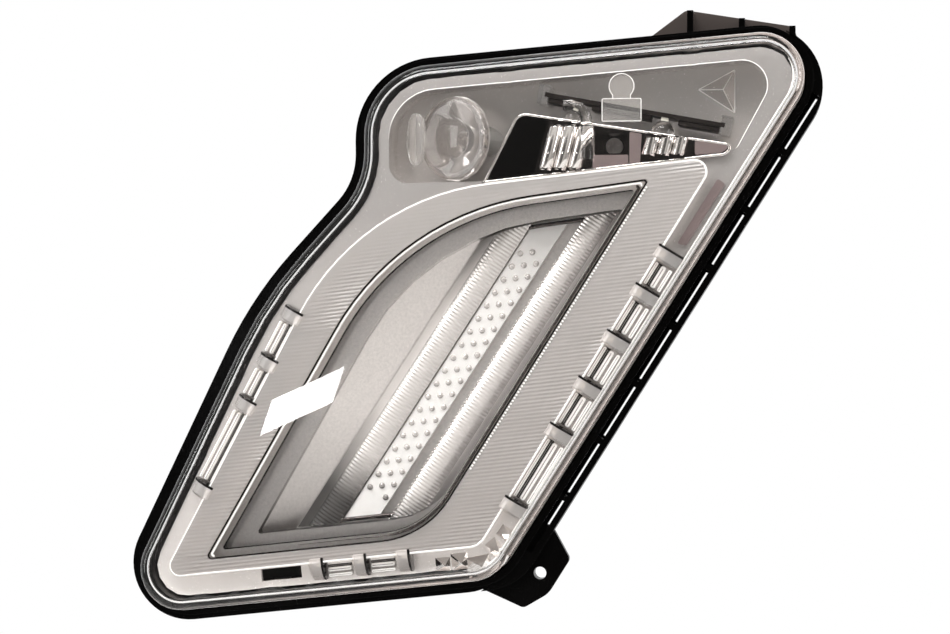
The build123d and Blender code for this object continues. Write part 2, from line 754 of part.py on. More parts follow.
with BuildPart() as marker_led:
    extrude(block(marker_plane(marker_board), 0, 0, led_size, led_size), amount=led_h)
marker_led.part.label = "marker_led"
export_step(marker_led.part, "parts/marker_led.step")

with BuildPart() as marker_led_board:
    extrude(marker_disc(marker_board, cup_back_r + cup_wall), amount=-board_t)
marker_led_board.part.label = "marker_led_board"
export_step(marker_led_board.part, "parts/marker_led_board.step")

with BuildPart() as marker_holder:
    extrude(marker_disc(marker_board + board_t, cup_back_r + cup_wall), amount=-recess_drop)
    extrude(slab(at(recess_floor), -reach, reach, 0, reach), amount=-2 * recess_drop, mode=Mode.SUBTRACT)
marker_holder.part.label = "marker_holder"
export_step(marker_holder.part, "parts/marker_holder.step")

# Side optic left of the marker, on a leg
with BuildPart() as side_optic:
    oval = [(x * side_r, y * side_across) for x, y in ring_points(0, 0, 1, marker_sides)]
    extrude(polygon(tilted(side_at, side_h, side_tilt, 0), oval), amount=-side_t)
    leg_x = side_at[0] - side_across / 2 + side_t / 2
    extrude(block(at(recess_floor), leg_x, side_at[1], side_t, side_leg), amount=0.75 * recess_drop)
side_optic.part.label = "side_optic"
export_step(side_optic.part, "parts/side_optic.step")

# Upper board, edge-on to the front, with LEDs below, clips at its ends and an ear in front
upper_len = math.dist(upper_left_end, upper_right_end)


def upper_plane(height):
    """Plane parallel to the rim whose x runs along the upper board."""
    return along(upper_left_end, upper_right_end, height)


with BuildPart() as upper_led_board:
    extrude(slab(upper_plane(0), 0, upper_len, -board_t / 2, board_t / 2), amount=-upper_board_d)
upper_led_board.part.label = "upper_led_board"
export_step(upper_led_board.part, "parts/upper_led_board.step")

pipe_h = ledge - pipe_r
led_face = -board_t / 2 - led_h
with BuildPart() as upper_leds:
    for s in pipe_spots:
        led = block(upper_plane(pipe_h + led_size / 2), s, led_face + led_h / 2, led_size, led_h)
        extrude(led, amount=-led_size)
upper_leds.part.label = "upper_leds"
export_step(upper_leds.part, "parts/upper_leds.step")

with BuildPart() as upper_light_pipes:
    for s in pipe_spots:
        top = upper_plane(pipe_h).from_local_coords((s, led_face - pipe_gap, 0))
        drop = upper_plane(0).from_local_coords((0, -1, 0)) - upper_plane(0).origin
        pipe = Plane(origin=top, x_dir=(0, -1, 0), z_dir=drop)
        add(frustum(pipe, 0.5 * pipe_r, pipe.offset(pipe_neck), pipe_r, 16))
        extrude(disc(pipe.offset(pipe_neck), 0, 0, pipe_r, 16), amount=pipe_len)
upper_light_pipes.part.label = "upper_light_pipes"
export_step(upper_light_pipes.part, "parts/upper_light_pipes.step")

with BuildPart() as board_clips:
    for middle in (clip_grip - clip_w / 2, upper_len - clip_grip + clip_w / 2):
        base = block(upper_plane(recess_floor), middle, 0, clip_w, clip_h)
        extrude(base, amount=recess_drop + clip_grip)
    gap_len, gap_h = upper_len + 2 * clip_clear, board_t + 2 * clip_clear
    gap = block(upper_plane(-upper_board_d), upper_len / 2, 0, gap_len, gap_h)
    extrude(gap, amount=2 * upper_board_d, mode=Mode.SUBTRACT)
board_clips.part.label = "board_clips"
export_step(board_clips.part, "parts/board_clips.step")

with BuildPart() as board_ear:
    ear_x, ear_z = ear_at
    extrude(slab(at(0), ear_x - ear_w / 2, ear_x + ear_w / 2, *ear_foot), amount=ear_t)
    extrude(slab(at(0), ear_x - ear_neck / 2, ear_x + ear_neck / 2, ear_foot[0], ear_z), amount=ear_t)
    extrude(disc(at(0), ear_x, ear_z, ear_r, 20), amount=ear_t)
board_ear.part.label = "board_ear"
export_step(board_ear.part, "parts/board_ear.step")

# Driver board on its posts, with components, screws and the plug pins
with BuildPart() as driver_board:
    extrude(block(at(driver_back), plug_x, plug_z, driver_w, driver_h), amount=board_t)
    for x, z in posts:
        extrude(disc(at(driver_back), x, z, screw_r, 8), amount=board_t, mode=Mode.SUBTRACT)
driver_board.part.label = "driver_board"
export_step(driver_board.part, "parts/driver_board.step")

with BuildPart() as driver_components:
    for x, z, w, h, tall in driver_blocks:
        extrude(block(at(driver_front), plug_x + x, plug_z + z, w, h), amount=tall)
    for x, z in driver_cans:
        extrude(disc(at(driver_front), plug_x + x, plug_z + z, can_r, 12), amount=can_h)
driver_components.part.label = "driver_components"
export_step(driver_components.part, "parts/driver_components.step")

with BuildPart() as driver_screws:
    for x, z in posts:
        extrude(disc(at(driver_front), x, z, 2 * screw_r, 8), amount=0.9 * screw_head_h)
        extrude(disc(at(driver_front), x, z, screw_r, 8), amount=-board_t - standoff)
driver_screws.part.label = "driver_screws"
export_step(driver_screws.part, "parts/driver_screws.step")

with BuildPart() as connector_pins:
    for x in pins:
        extrude(block(at(driver_back), x, plug_z, pin_w, pin_w), amount=-standoff - wall - 0.6 * socket_d)
connector_pins.part.label = "connector_pins"
export_step(connector_pins.part, "parts/connector_pins.step")

# Vent cap over the spigot
with BuildPart() as vent_cap:
    cap_depth = vent_h + cap_wall - cap_gap
    extrude(disc(at(-tub_depth - cap_gap), *vent_at, vent_r + cap_wall, 16), amount=-cap_depth)
    extrude(disc(at(-tub_depth), *vent_at, vent_r, 16), amount=-vent_h, mode=Mode.SUBTRACT)
vent_cap.part.label = "vent_cap"
export_step(vent_cap.part, "parts/vent_cap.step")
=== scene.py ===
import math

import bmesh
import bpy
from mathutils import Matrix, Vector


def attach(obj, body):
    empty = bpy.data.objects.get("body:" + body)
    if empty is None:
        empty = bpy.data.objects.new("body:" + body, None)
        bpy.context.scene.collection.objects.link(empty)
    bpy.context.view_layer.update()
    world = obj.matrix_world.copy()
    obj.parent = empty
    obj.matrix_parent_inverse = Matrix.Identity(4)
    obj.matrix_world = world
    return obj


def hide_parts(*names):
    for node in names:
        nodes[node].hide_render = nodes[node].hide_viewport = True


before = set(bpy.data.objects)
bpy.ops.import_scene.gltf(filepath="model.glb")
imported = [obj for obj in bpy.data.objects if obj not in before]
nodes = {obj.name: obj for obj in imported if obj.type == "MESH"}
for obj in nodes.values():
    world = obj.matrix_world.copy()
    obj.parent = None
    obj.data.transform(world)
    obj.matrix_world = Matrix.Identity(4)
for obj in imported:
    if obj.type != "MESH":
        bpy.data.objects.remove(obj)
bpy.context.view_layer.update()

# Sizes of the solids that the pieces follow, in millimetres, in the solids' own frame
MM = 0.001
RIM_LIFT = 4.0
RIM_CORNERS = [(-166, -23), (-16.2, -6.1), (113.7, 200.3), (-68, 185.5), (-67.5, 143), (-106.5, 100.5)]
RIM_RADII = [21, 20, 18, 30, 25, 150]
RIM_TURN = [-1, -1, -1, -1, 1, -1]
RIM_LAND = [5, 1.4, 4, 5.2, 5.2, 6.4]
LENS_WALL = 2.6
LENS_FOOT = -5.0
LENS_SEAT = 2.0
LENS_TOP = 15.48
LENS_CROWN_R = 805.3
LENS_ROUND = 3.2
LENS_INNER_ROUND = 1.4
LEDGE = 2.0
FRAME_FRONT = 8.5
FRAME_OUTER = [(-138, -2.7), (-20.5, 10.4), (65.2, 150), (-64.5, 136)]
FRAME_OUTER_RADII = [4, 8, 4.5, 90]
FRAME_INNER = [(-122, 4.1), (-40, 13.5), (41, 142.5), (-49.7, 130.4)]
FRAME_INNER_RADII = [1.5, 34, 1, 98]
FRAME_RIB = 1.35
FRAME_RIB_DEPTH = 0.28
LEFT_SPOTS = [35.8, 70.7, 88, 107.5]
RIGHT_SPOTS = [18.5, 49.5, 69, 88.5, 108, 124]
LOWER_SPOTS = [58, 74, 90]
LEFT_REACH = 5.0
RIGHT_REACH = 6.5
LOWER_REACH = 5.0
COUPLER_LENGTH = 5.5
COUPLER_HEIGHT = 5.3
LINK_GAP = 0.8
LINK_HEIGHT = 3.6
POCKET_FLOOR = -12.5
POCKET_INSET = 3.35
POCKET_IN = [4.0, 0.3, 6.0, 7.5]
SLANT_FOOT = (-64.0, 23.5)
SLANT_HEAD = (1.2, 124.0)
STRIP_W = 10.4
STRIP_H = 2.4
BAR_W = 9.2
BAR_H = 4.6
BAR_BEVEL = 3.4
BAR_GAP = 0.5
RIGHT_BAND = 4.2
BAR_RIB = 1.35
BAR_RIB_DEPTH = 0.3
DOT_R = 1.15
DOT_H = 0.95
DOT_ROWS = 19
DOT_COLUMNS = 3
DOT_PITCH = 5.7
DOT_START = 3.0
VISOR_FRONT = 4.0
VISOR_TOP = [(72.5, 154.5), (-7, 167)]
VISOR_LEFT = -20.0
VISOR_RIGHT = 67.0
VISOR_RADII = [0.5, 0.5, 2, 5]
VISOR_LIFT = 0.4
FLUTE_R = 2.6
FLUTE_LEAN = 0.25
FLUTE_COUNT = 3
FLUTES = [(3, 146, 16.5), (40, 151, 6.5)]
MARKER_AT = (-31.5, 157.9)
MARKER_H = 1.5
MARKER_TILT = 30
SIDE_AT = (-46.0, 157.7)
SIDE_H = 1.0
SIDE_TILT = 60
SIDE_R = 9.5
SIDE_ACROSS = 7.0
SIDE_T = 3.0
SIDE_LEG = 6.0
SIDE_LEG_LENGTH = 12
RECESS = [(-54.5, 141.5), (-20, 142.2), (71, 152.7), (89, 186), (-54.5, 174.4)]
RECESS_RADII = [7, 6, 4, 9, 18]
RECESS_FLOOR = -16.0
PRISM = [(57, 176), (70, 167.5), (70, 183)]
PRISM_TIP = (66, 175.5)
PRISM_RISE = 5
BOARD_ENDS = [(2.5, 173.5), (67.0, 161.6)]
PIPE_SPOTS = [12.5, 44.0]
PIPE_DROP = 2.4
PIPE_H = -2.0
EAR_AT = (30.2, 176.0)
EAR_R = 4.5
EAR_NECK = 3.2
EAR_HALF = 7
EAR_LOW = 163.4
EAR_STEP = 171.5
EAR_FRONT = 2.0

# Finer forms that only the scene has, in millimetres; cuts give a first place, a last one and a step
RIM_SPACING = 6
RIM_LEAST_R = 2.0
TRAY_LEAST_R = 0.8
LENS_TURNS = 6
LENS_CUTS_LEFT = (-100, 120, 4)
LENS_CUTS_ALONG = (-100, 250, 8)
RIB_LEAN = 0.12
RIB_CUTS = (-4, 162, FRAME_RIB / 4)
RIB_EDGE = 2
RIB_GROW = 7
RIB_LEAST = 0.15
RIB_CORNER_X = 36
PLAIN_FROM = 112
PLAIN_OVER = 14
PLAIN_SHARE = 0.8
LEFT_RIBS = 10
LEFT_RIBS_END = 2
COLLAR_BACK = 0.1
COLLAR_PAST = 1.5
COLLAR_SLICES = [(-0.5, 0.86), (-0.34, 1.0), (0.34, 1.0), (0.5, 0.86)]
RING_AT = 0.42
RING_PAST = 1.6
RING_LENGTH = 1.1
LINK_PAST = 0.8
LINK_START = 0.15
# Rods of a link: share of its width, place across it, and finish (1 frosted, 2 dark as painted shade, 3
# bright as painted highlight)
LINK_RODS = [(0.16, 0.1, 3), (0.13, 0.27, 2), (0.27, 0.5, 3), (0.08, 0.69, 1), (0.2, 0.86, 3)]
LINK_ROD_LOW = 0.62
LINK_ROD_RISE = 1.4
LINK_ROD_ROUND = 0.4
BAR_CUTS_ALONG = (-40, 160, BAR_RIB / 2)
BAR_PARTS = 11
BAR_CROWN = 1.2
BAR_BEVEL_DROP = 3.0
DOT_TURNS = 5
DOT_SUNK = 0.15
BEAD_R = 0.42
EDGE_BEADS_FROM = 30
EDGE_BEADS_LEFT_OUT = 32
EDGE_BEAD_STEP = 1.25
EDGE_BEAD_OUT = 0.5
EDGE_BEAD_LIFT = 0.05
BAR_BEADS = 78
BAR_BEADS_FROM = -6
BAR_BEAD_STEP = 1.55
BAR_BEAD_IN = 0.3
BAR_BEAD_H = 3.3
# Lines along edges, all but the visor's line painted shade or painted highlight: distance in from the edge,
# height and radius
EDGE_LINE = (0.4, FRAME_FRONT - 0.6, 0.32)
INNER_LINE = (1.2, FRAME_FRONT - 0.9, 0.42)
STEP_LINE = (2.75, LEDGE - 1, 0.4)
WALL_LINE = (1.9, LEDGE + 2.0, 0.55)
END_LINE = (POCKET_INSET + 1, POCKET_FLOOR + 2.6, 0.8)
DARK_LIP = (LENS_WALL + 0.75, LEDGE + 0.3, 0.8)
BRIGHT_LIP = (LENS_WALL + 0.95, LEDGE + 0.8, 0.85)
OUTER_LINE = (0.3, FRAME_FRONT - 0.38, 0.45)
VISOR_LINE = (0.5, VISOR_FRONT - 0.1, 0.55)
# Limits of those lines, in x and z or in distance along the slant and to its left
INNER_LINE_LOW = 60
INNER_LINE_LEFT = -90
WALL_LINE_START = (-88, 9.9)
WALL_LINE_LEFT = -12
END_LINE_LEFT = (-18, 6)
END_LINE_MIDDLE = 60
DARK_LIP_LEFT = 52
DARK_LIP_TOP = 172
BRIGHT_LIP_LEFT = -40
RECESS_LINE_LOW = 153
RECESS_LINE_H = LEDGE + 0.2
RECESS_LINE_R = 0.2
EAR_LINE_R = 0.16
EAR_TURNS = 14
EAR_CORNER_R = 0.5
PRISM_FOOT_R = 0.25
PRISM_EDGE_R = 0.2
FLUTE_STEPS = 16
# Slices of a flute's skin: share of its length and what its radius gains
FLUTE_SLICES = [(0, -0.4), (0.05, 0.06), (0.95, 0.06), (1, -0.4)]
VISOR_SHADE = [(-17.6, 142.9), (-1.2, 144.8), (4.2, 164.4), (-6.2, 165.6)]
VISOR_SHADE_RADII = [0.6, 1, 1.5, 4]
VISOR_SHADE_H = (VISOR_FRONT - 0.5, VISOR_FRONT + 0.25)
VISOR_PANELS = [
    ([(56.5, 150.9), (66, 151.6), (69.8, 154.2), (56.5, 156.2)], [0.8, 0.8, 1, 0.8]),
    ([(33.2, 147.9), (37, 148.3), (37.6, 158.6), (33.2, 159.4)], [0.5, 0.5, 0.5, 0.5]),
    ([(20, 146.4), (32.8, 147.9), (32.8, 151.2), (20, 151.2)], [0.5, 0.5, 0.5, 0.5]),
]
VISOR_PANEL_H = (VISOR_FRONT - 0.5, VISOR_FRONT + 0.2)
LEDGE_FACET = [(50.2, 119.4), (53.4, 118.6), (67.2, 140.6), (64.6, 142.4)]
LEDGE_FACET_RADII = [0.6, 0.6, 0.6, 0.6]
LEDGE_FACET_H = (LEDGE - 0.2, LEDGE + 1.2)
# Turned profiles: radius and distance behind the front
MARKER_PROFILE = [
    (0, -1.0), (1.5, -0.97), (3.0, -0.85), (4.5, -0.6), (5.8, -0.25), (6.6, 0.1), (7.0, 0.35), (7.6, 0.4),
    (9.5, 0.25), (12, 0.1), (13.8, 0.0), (14.5, 0.12), (14.9, 0.5), (15, 1.0), (15, 2.4), (14.8, 2.85),
    (14.3, 3.0), (13.8, 3.1), (11.6, 5.6), (9.0, 8.4), (6.9, 10.6), (5.6, 11.8), (5.2, 12), (2.5, 12),
    (2.4, 11.8), (2.4, 8.8), (1.8, 8.3), (0, 8.0),
]
PIPE_PROFILE = [
    (0, 0), (1.7, 0.02), (2.2, 0.2), (2.9, 0.9), (3.5, 1.7), (3.9, 2.6), (4, 3.4), (4, 7.8), (3.85, 8.4),
    (3.4, 8.68), (0, 8.7),
]
SIDE_LENS_TURNS = 9
SIDE_LENS_FLAT = 0.6
SIDE_LENS_DOME = 0.06
SIDE_LEG_ROUND = 0.6
# Dark blocks of painted shade under the upper board
BOARD_SHADE_SPANS = [(1, 7.6), (17.4, 39), (49, 64.4)]
BOARD_SHADE_DROP = 1.75
BOARD_SHADE_H = -6
BOARD_SHADE_T = 1.9
BOARD_SHADE_DEPTH = 11
BOARD_SHADE_ROUND = 0.25
BENT_PIPE = [
    (9.8, 168.6), (12.6, 168.7), (15.2, 167.9), (17, 166.2), (17.9, 163.6), (18.2, 160), (18.4, 149.5),
]
BENT_PIPE_R = 2.2
BENT_PIPE_H = VISOR_FRONT + 2.5
# Facets at the frame's lower right: x, z, width, depth, height and turn in degrees
CORNER_FACETS = [
    (-21.5, 3.5, 9, 6.5, 4.5, 12), (-28.5, 4.6, 6, 6, 3.4, 8), (-14.8, 8.6, 5, 9, 4.2, 40),
    (-34.6, 3.4, 5.4, 5, 2.8, 5), (-11.4, 14.6, 4.6, 6.4, 3.6, 55),
]
FACET_TIP_ALONG = 0.18
FACET_TIP_OUT = -0.12

# Stage, lights and camera, in metres, watts and degrees
FLOOR_R = 0.7
FLOOR_AT = (-0.02, 0.0, -0.14)
DARK_WAY = (-0.174, -0.985, 0)
# Grey steps of the studio: place from -1 to 1 and brightness
FRONT_STEPS = [(-1, 1), (0, 0.6), (0.5, 0.5), (0.88, 0.85), (0.955, 0.15), (1, 0.1)]
HEIGHT_STEPS = [(-1, 0.15), (-0.75, 0.3), (-0.45, 0.55), (0.0, 0.8), (0.25, 1), (1, 1)]
BEHIND_STEPS = [(-1, 0), (-0.1, 0), (0.1, 1), (1, 1)]
STUDIO_TINT = (1, 0.985, 0.965)
LAMP_TARGET = Vector((-0.03, 0, 0.09))
# Lamps: name, place, width, depth and watts
LAMPS = [
    ("window", (-0.635, -1.85, 0.091), 0.147, 0.05, 0.42),
    ("overhead", (-0.3, -1.0, 1.5), 1.4, 0.6, 24),
    ("left_side", (-1.6, -0.9, 0.4), 0.5, 1.2, 9),
    ("right_side", (1.5, -0.7, 0.3), 0.3, 1.2, 8),
]
CAMERA_AZIMUTH = 8
CAMERA_TARGET = Vector((-0.02387, 0, 0.09308))
CAMERA_AWAY = 0.8669
CAMERA_LENS = 90
CAMERA_SENSOR = 36

SLANT_LEN = math.dist(SLANT_FOOT, SLANT_HEAD)
SLANT_U = ((SLANT_HEAD[0] - SLANT_FOOT[0]) / SLANT_LEN, (SLANT_HEAD[1] - SLANT_FOOT[1]) / SLANT_LEN)
FRONT = Vector((0, -1, 0))
BACK = Vector((0, 1, 0))
UP = Vector((0, 0, 1))
SLANT_WAY = Vector((SLANT_U[0], 0, SLANT_U[1]))
SLANT_LEFT = Vector((-SLANT_U[1], 0, SLANT_U[0]))


# Places and outlines
def spot(x, z, h):
    """Point in metres at x, z, a height in front of the rim."""
    return Vector((x, -(RIM_LIFT + h), z)) * MM


def on_slant(s, d, h):
    """Point in metres at a distance along the slant, a distance to its left and a height."""
    x = SLANT_FOOT[0] + SLANT_U[0] * s - SLANT_U[1] * d
    return spot(x, SLANT_FOOT[1] + SLANT_U[1] * s + SLANT_U[0] * d, h)


def slant_place(x, z):
    """Distances along the slant and to its left."""
    dx, dz = x - SLANT_FOOT[0], z - SLANT_FOOT[1]
    return dx * SLANT_U[0] + dz * SLANT_U[1], dz * SLANT_U[0] - dx * SLANT_U[1]


def limited(value, low=0, high=1):
    """A value kept between two limits."""
    return min(max(value, low), high)


def moved_in(points, insets):
    """Corners of an outline whose sides are each moved inwards by their own distance."""
    sides = []
    for i, (x, z) in enumerate(points):
        ex, ez = points[(i + 1) % len(points)]
        length = math.hypot(ex - x, ez - z)
        ux, uz = (ex - x) / length, (ez - z) / length
        sides.append((x - uz * insets[i], z + ux * insets[i], ux, uz))
    corners = []
    for i in range(len(points)):
        x1, z1, ux1, uz1 = sides[i - 1]
        x2, z2, ux2, uz2 = sides[i]
        step = ((x2 - x1) * uz2 - (z2 - z1) * ux2) / (ux1 * uz2 - uz1 * ux2)
        corners.append((x1 + ux1 * step, z1 + uz1 * step))
    return corners


def rounded(points, radii, turn=4, runs=None):
    """Outline with its corners rounded in turns of a few degrees; runs gives the steps of each side."""
    loop = []
    for i, radius in enumerate(radii):
        corner = Vector(points[i])
        to_last = (Vector(points[i - 1]) - corner).normalized()
        to_next = (Vector(points[(i + 1) % len(points)]) - corner).normalized()
        half = to_last.angle(to_next) / 2
        centre = corner + (to_last + to_next).normalized() * (radius / math.sin(half))
        first = corner + to_last * (radius / math.tan(half)) - centre
        last = corner + to_next * (radius / math.tan(half)) - centre
        sweep = math.pi - 2 * half
        count = max(2, math.ceil(sweep / math.radians(turn)))
        for k in range(count + 1):
            a = math.sin(sweep * (1 - k / count)) / math.sin(sweep)
            b = math.sin(sweep * k / count) / math.sin(sweep)
            loop.append((centre + first * a + last * b, i if k == count else None))
    spread = []
    for n, (point, side) in enumerate(loop):
        spread.append(tuple(point))
        if runs and side is not None:
            after = loop[(n + 1) % len(loop)][0]
            for k in range(1, runs[side]):
                spread.append(tuple(point.lerp(after, k / runs[side])))
    return spread


def moved_in_loop(loop, inset):
    """Dense outline moved inwards by a small distance."""
    moved = []
    for i, point in enumerate(loop):
        way = Vector(loop[(i + 1) % len(loop)]) - Vector(loop[i - 1])
        side = Vector((-way.y, way.x)).normalized()
        moved.append(tuple(Vector(point) + side * inset))
    return moved


def rim_loop(inset):
    """Lens line moved in, with points along its straight sides."""
    moves = [land + inset for land in RIM_LAND]
    radii = []
    runs = []
    for i, radius in enumerate(RIM_RADII):
        radii.append(max(radius + RIM_TURN[i] * (moves[i - 1] + moves[i]) / 2, RIM_LEAST_R))
        side = math.dist(RIM_CORNERS[i], RIM_CORNERS[(i + 1) % len(RIM_CORNERS)])
        runs.append(max(2, round(side / RIM_SPACING)))
    return rounded(moved_in(RIM_CORNERS, moves), radii, 6, runs)


def tray_loop(inset, extra=(0, 0, 0, 0)):
    """Outline of the frame's opening moved in, some sides further."""
    moves = [inset + more for more in extra]
    radii = []
    for i, radius in enumerate(FRAME_INNER_RADII):
        radii.append(max(radius - (moves[i - 1] + moves[i]) / 2, TRAY_LEAST_R))
    return rounded(moved_in(FRAME_INNER, moves), radii)


def frame_loop(inset):
    """Outer outline of the frame moved in."""
    return moved_in_loop(rounded(FRAME_OUTER, FRAME_OUTER_RADII), inset)


def frame_top(x):
    """Height in z of the frame's upper side."""
    right_x, right_z = FRAME_OUTER[2]
    left_x, left_z = FRAME_OUTER[3]
    return right_z + (x - right_x) * (right_z - left_z) / (right_x - left_x)


def visor_loop(inset):
    """Outline of the visor moved in."""
    low = [(x, frame_top(x) + VISOR_LIFT) for x in (VISOR_LEFT, VISOR_RIGHT)]
    return moved_in_loop(rounded(low + VISOR_TOP, VISOR_RADII, 8), inset)


def between(loop, low, high):
    """Part of an outline between two distances to the left of the slant."""
    for limit, sign in ((low, 1), (high, -1)):
        kept = []
        for i, (x, z) in enumerate(loop):
            last_x, last_z = loop[i - 1]
            over = sign * (slant_place(x, z)[1] - limit)
            last_over = sign * (slant_place(last_x, last_z)[1] - limit)
            if over * last_over < 0:
                t = last_over / (last_over - over)
                kept.append((last_x + (x - last_x) * t, last_z + (z - last_z) * t))
            if over >= 0:
                kept.append((x, z))
        loop = kept
    return loop


def run_of(loop, test):
    """The one unbroken run of an outline's points that pass a test."""
    passed = [test(x, z) for x, z in loop]
    first = next(i for i in range(len(loop)) if passed[i] and not passed[i - 1])
    return (loop[first:] + loop[:first])[:sum(passed)]


# Meshes
def only_faces(geom):
    """The faces among what a mesh operation returns."""
    return [g for g in geom if isinstance(g, bmesh.types.BMFace)]


def corners_of(faces):
    """The points of some faces."""
    return {vert for face in faces for vert in face.verts}


def lift(verts, shape):
    """Moves points to the height that a function of x and z gives."""
    for vert in verts:
        x, z = vert.co.x / MM, vert.co.z / MM
        vert.co = spot(x, z, shape(x, z))


def cut_strips(bm, faces, origin, way, start, stop, step):
    """Cuts faces by evenly spaced planes across a way and returns the pieces."""
    faces = list(faces)
    for i in range(int((stop - start) / step) + 1):
        geom = dict.fromkeys(faces)
        for face in faces:
            geom.update(dict.fromkeys(face.edges))
            geom.update(dict.fromkeys(face.verts))
        place = origin + way * (start + i * step) * MM
        cut = bmesh.ops.bisect_plane(bm, geom=list(geom), dist=1e-7, plane_co=place, plane_no=way)
        faces = only_faces(cut["geom"])
    return faces


def plate(bm, loops, low, high):
    """Flat plate between outlines, with its front faces returned for shaping."""
    edges = []
    above = {}
    for loop in loops:
        ring = [bm.verts.new(spot(x, z, low)) for x, z in loop]
        for i, (x, z) in enumerate(loop):
            above[ring[i]] = bm.verts.new(spot(x, z, high))
            edges.append(bm.edges.new((ring[i - 1], ring[i])))
    fill = bmesh.ops.triangle_fill(bm, use_beauty=True, use_dissolve=False, edges=edges)
    for first, last in [edge.verts for edge in edges]:
        bm.faces.new((first, last, above[last], above[first]))
    return [bm.faces.new([above[vert] for vert in face.verts]) for face in only_faces(fill["geom"])]


def skin(bm, rings, mark=0):
    """Faces between closed rings of points."""
    for first, last in zip(rings, rings[1:]):
        for i in range(len(first)):
            bm.faces.new((first[i - 1], first[i], last[i], last[i - 1])).material_index = mark


def end_faces(bm, rings, mark=0):
    """Faces over the first and the last ring."""
    bm.faces.new(rings[0]).material_index = mark
    bm.faces.new(rings[-1]).material_index = mark


def block(bm, centre, along, out, size, round_by, mark=0):
    """Block with rounded edges; size is given along, out and to the front, in millimetres."""
    turn = Matrix((along, out, along.cross(out))).transposed().to_4x4()
    scale = Matrix.Diagonal((*[s * MM for s in size], 1))
    made = bmesh.ops.create_cube(bm, size=1, matrix=Matrix.Translation(centre) @ turn @ scale)
    edges = list(dict.fromkeys(edge for vert in made["verts"] for edge in vert.link_edges))
    faces = {face for vert in made["verts"] for face in vert.link_faces}
    offset = round_by * MM
    soft = bmesh.ops.bevel(bm, geom=edges, offset=offset, segments=3, profile=0.5, affect="EDGES")
    for face in set(soft["faces"]) | {f for f in faces if f.is_valid}:
        face.material_index = mark


def lathe(bm, centre, axis, side, profile, steps, squeeze=1.0, mark=0):
    """Turned form: radius and distance behind the centre, squeezed across its side way."""
    other = axis.cross(side)
    rings = []
    for radius, back in profile:
        place = centre - axis * back * MM
        if radius == 0:
            rings.append([bm.verts.new(place)])
            continue
        ring = []
        for i in range(steps):
            a = 2 * math.pi * i / steps
            way = side * (math.cos(a) * squeeze) + other * math.sin(a)
            ring.append(bm.verts.new(place + way * radius * MM))
        rings.append(ring)
    for first, last in zip(rings, rings[1:]):
        for i in range(steps):
            if len(first) == 1:
                corners = [first[0], last[i], last[i - 1]]
            elif len(last) == 1:
                corners = [first[i - 1], first[i], last[0]]
            else:
                corners = [first[i - 1], first[i], last[i], last[i - 1]]
            bm.faces.new(corners).material_index = mark


def rod(bm, points, radius, closed=False, sides=10, mark=0, taper=0):
    """Round rod through points in a plane parallel to the front; taper thins that many points at its ends."""
    rings = []
    count = len(points)
    for i, point in enumerate(points):
        after = points[(i + 1) % count] if closed or i + 1 < count else point
        before = points[i - 1] if closed or i > 0 else point
        way = (after - before).normalized()
        out = way.cross(FRONT).normalized()
        thick = radius * min(1, (min(i, count - 1 - i) + 0.3) / taper) if taper else radius
        ring = []
        for k in range(sides):
            a = 2 * math.pi * k / sides
            ring.append(bm.verts.new(point + (out * math.cos(a) + FRONT * math.sin(a)) * thick * MM))
        rings.append(ring)
    if closed:
        skin(bm, rings + rings[:1], mark)
    else:
        skin(bm, rings, mark)
        end_faces(bm, rings, mark)


def line(bm, loop, height, radius, **form):
    """Rod along an outline at one height."""
    rod(bm, [spot(x, z, height) for x, z in loop], radius, **form)


def edge_line(bm, outline, size, test=None, **form):
    """Line along an outline, or along the run of it that passes a test, with one of the sizes above."""
    inset, height, radius = size
    loop = outline(inset)
    if test:
        loop = run_of(loop, test)
    line(bm, loop, height, radius, **form)


def bead(bm, place, mark=0):
    """Small ball."""
    centre = Matrix.Translation(place)
    made = bmesh.ops.create_icosphere(bm, subdivisions=2, radius=BEAD_R * MM, matrix=centre)
    for vert in made["verts"]:
        for face in vert.link_faces:
            face.material_index = mark


def piece(name, bm, materials, replaced=(), angle=30):
    """A new object that rides on the lamp, takes a slot's finish and may stand for CAD nodes."""
    bmesh.ops.recalc_face_normals(bm, faces=bm.faces)
    for face in bm.faces:
        face.smooth = True
    for edge in bm.edges:
        edge.smooth = len(edge.link_faces) == 2 and edge.calc_face_angle() < math.radians(angle)
    mesh = bpy.data.meshes.new(name)
    bm.to_mesh(mesh)
    bm.free()
    obj = bpy.data.objects.new(name, mesh)
    bpy.context.scene.collection.objects.link(obj)
    for material in materials:
        mesh.materials.append(material)
    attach(obj, "root")
    if replaced:
        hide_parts(*replaced)


# Materials: sizes and depths in metres; textures give a size, a depth and a strength
MIX_INPUTS = (0, 6, 7)
MIX_RESULT = 2
NOISE_LOW = 0.3
NOISE_HIGH = 0.7
MOULDED = (0.0006, 0.00004, 0.35)
BOARD_GRAIN = (0.0003, 0.00003, 0.35)
PHOSPHOR_GRAIN = (0.0002, 0.00002, 0.35)
SILVER_GRAIN = (0.0006, 0.000004, 0.06)
SATIN_GRAIN = (0.0004, 0.00003, 0.4)
CHROME_WAVES = (0.006, 0.00005, 0.15)
PLATED = (0.0006, 0.00003, 0.3)
BAR_GRAIN = (0.002, 0.00003, 0.3)
RIB_GRAIN = (0.002, 0.00003, 0.5)
ROD_GRAIN = (0.0012, 0.00012, 0.5)
FLOOR_GRAIN = (0.004, 0.0002, 0.2)
SHARP_EDGE = 0.0001
# How far back the tub's painted sheen begins, how high the bracket's painted light from above does, and how
# far back that painted light lies
TUB_BACK = (0.006, 0.009)
BRACKET_UP = (0.188, 0.191)
BRACKET_BACK = (0.0005, 0.0015)
# How far left the lens's foot turns from painted light to painted shade
FOOT_LEFT = (0.0365, 0.1265)
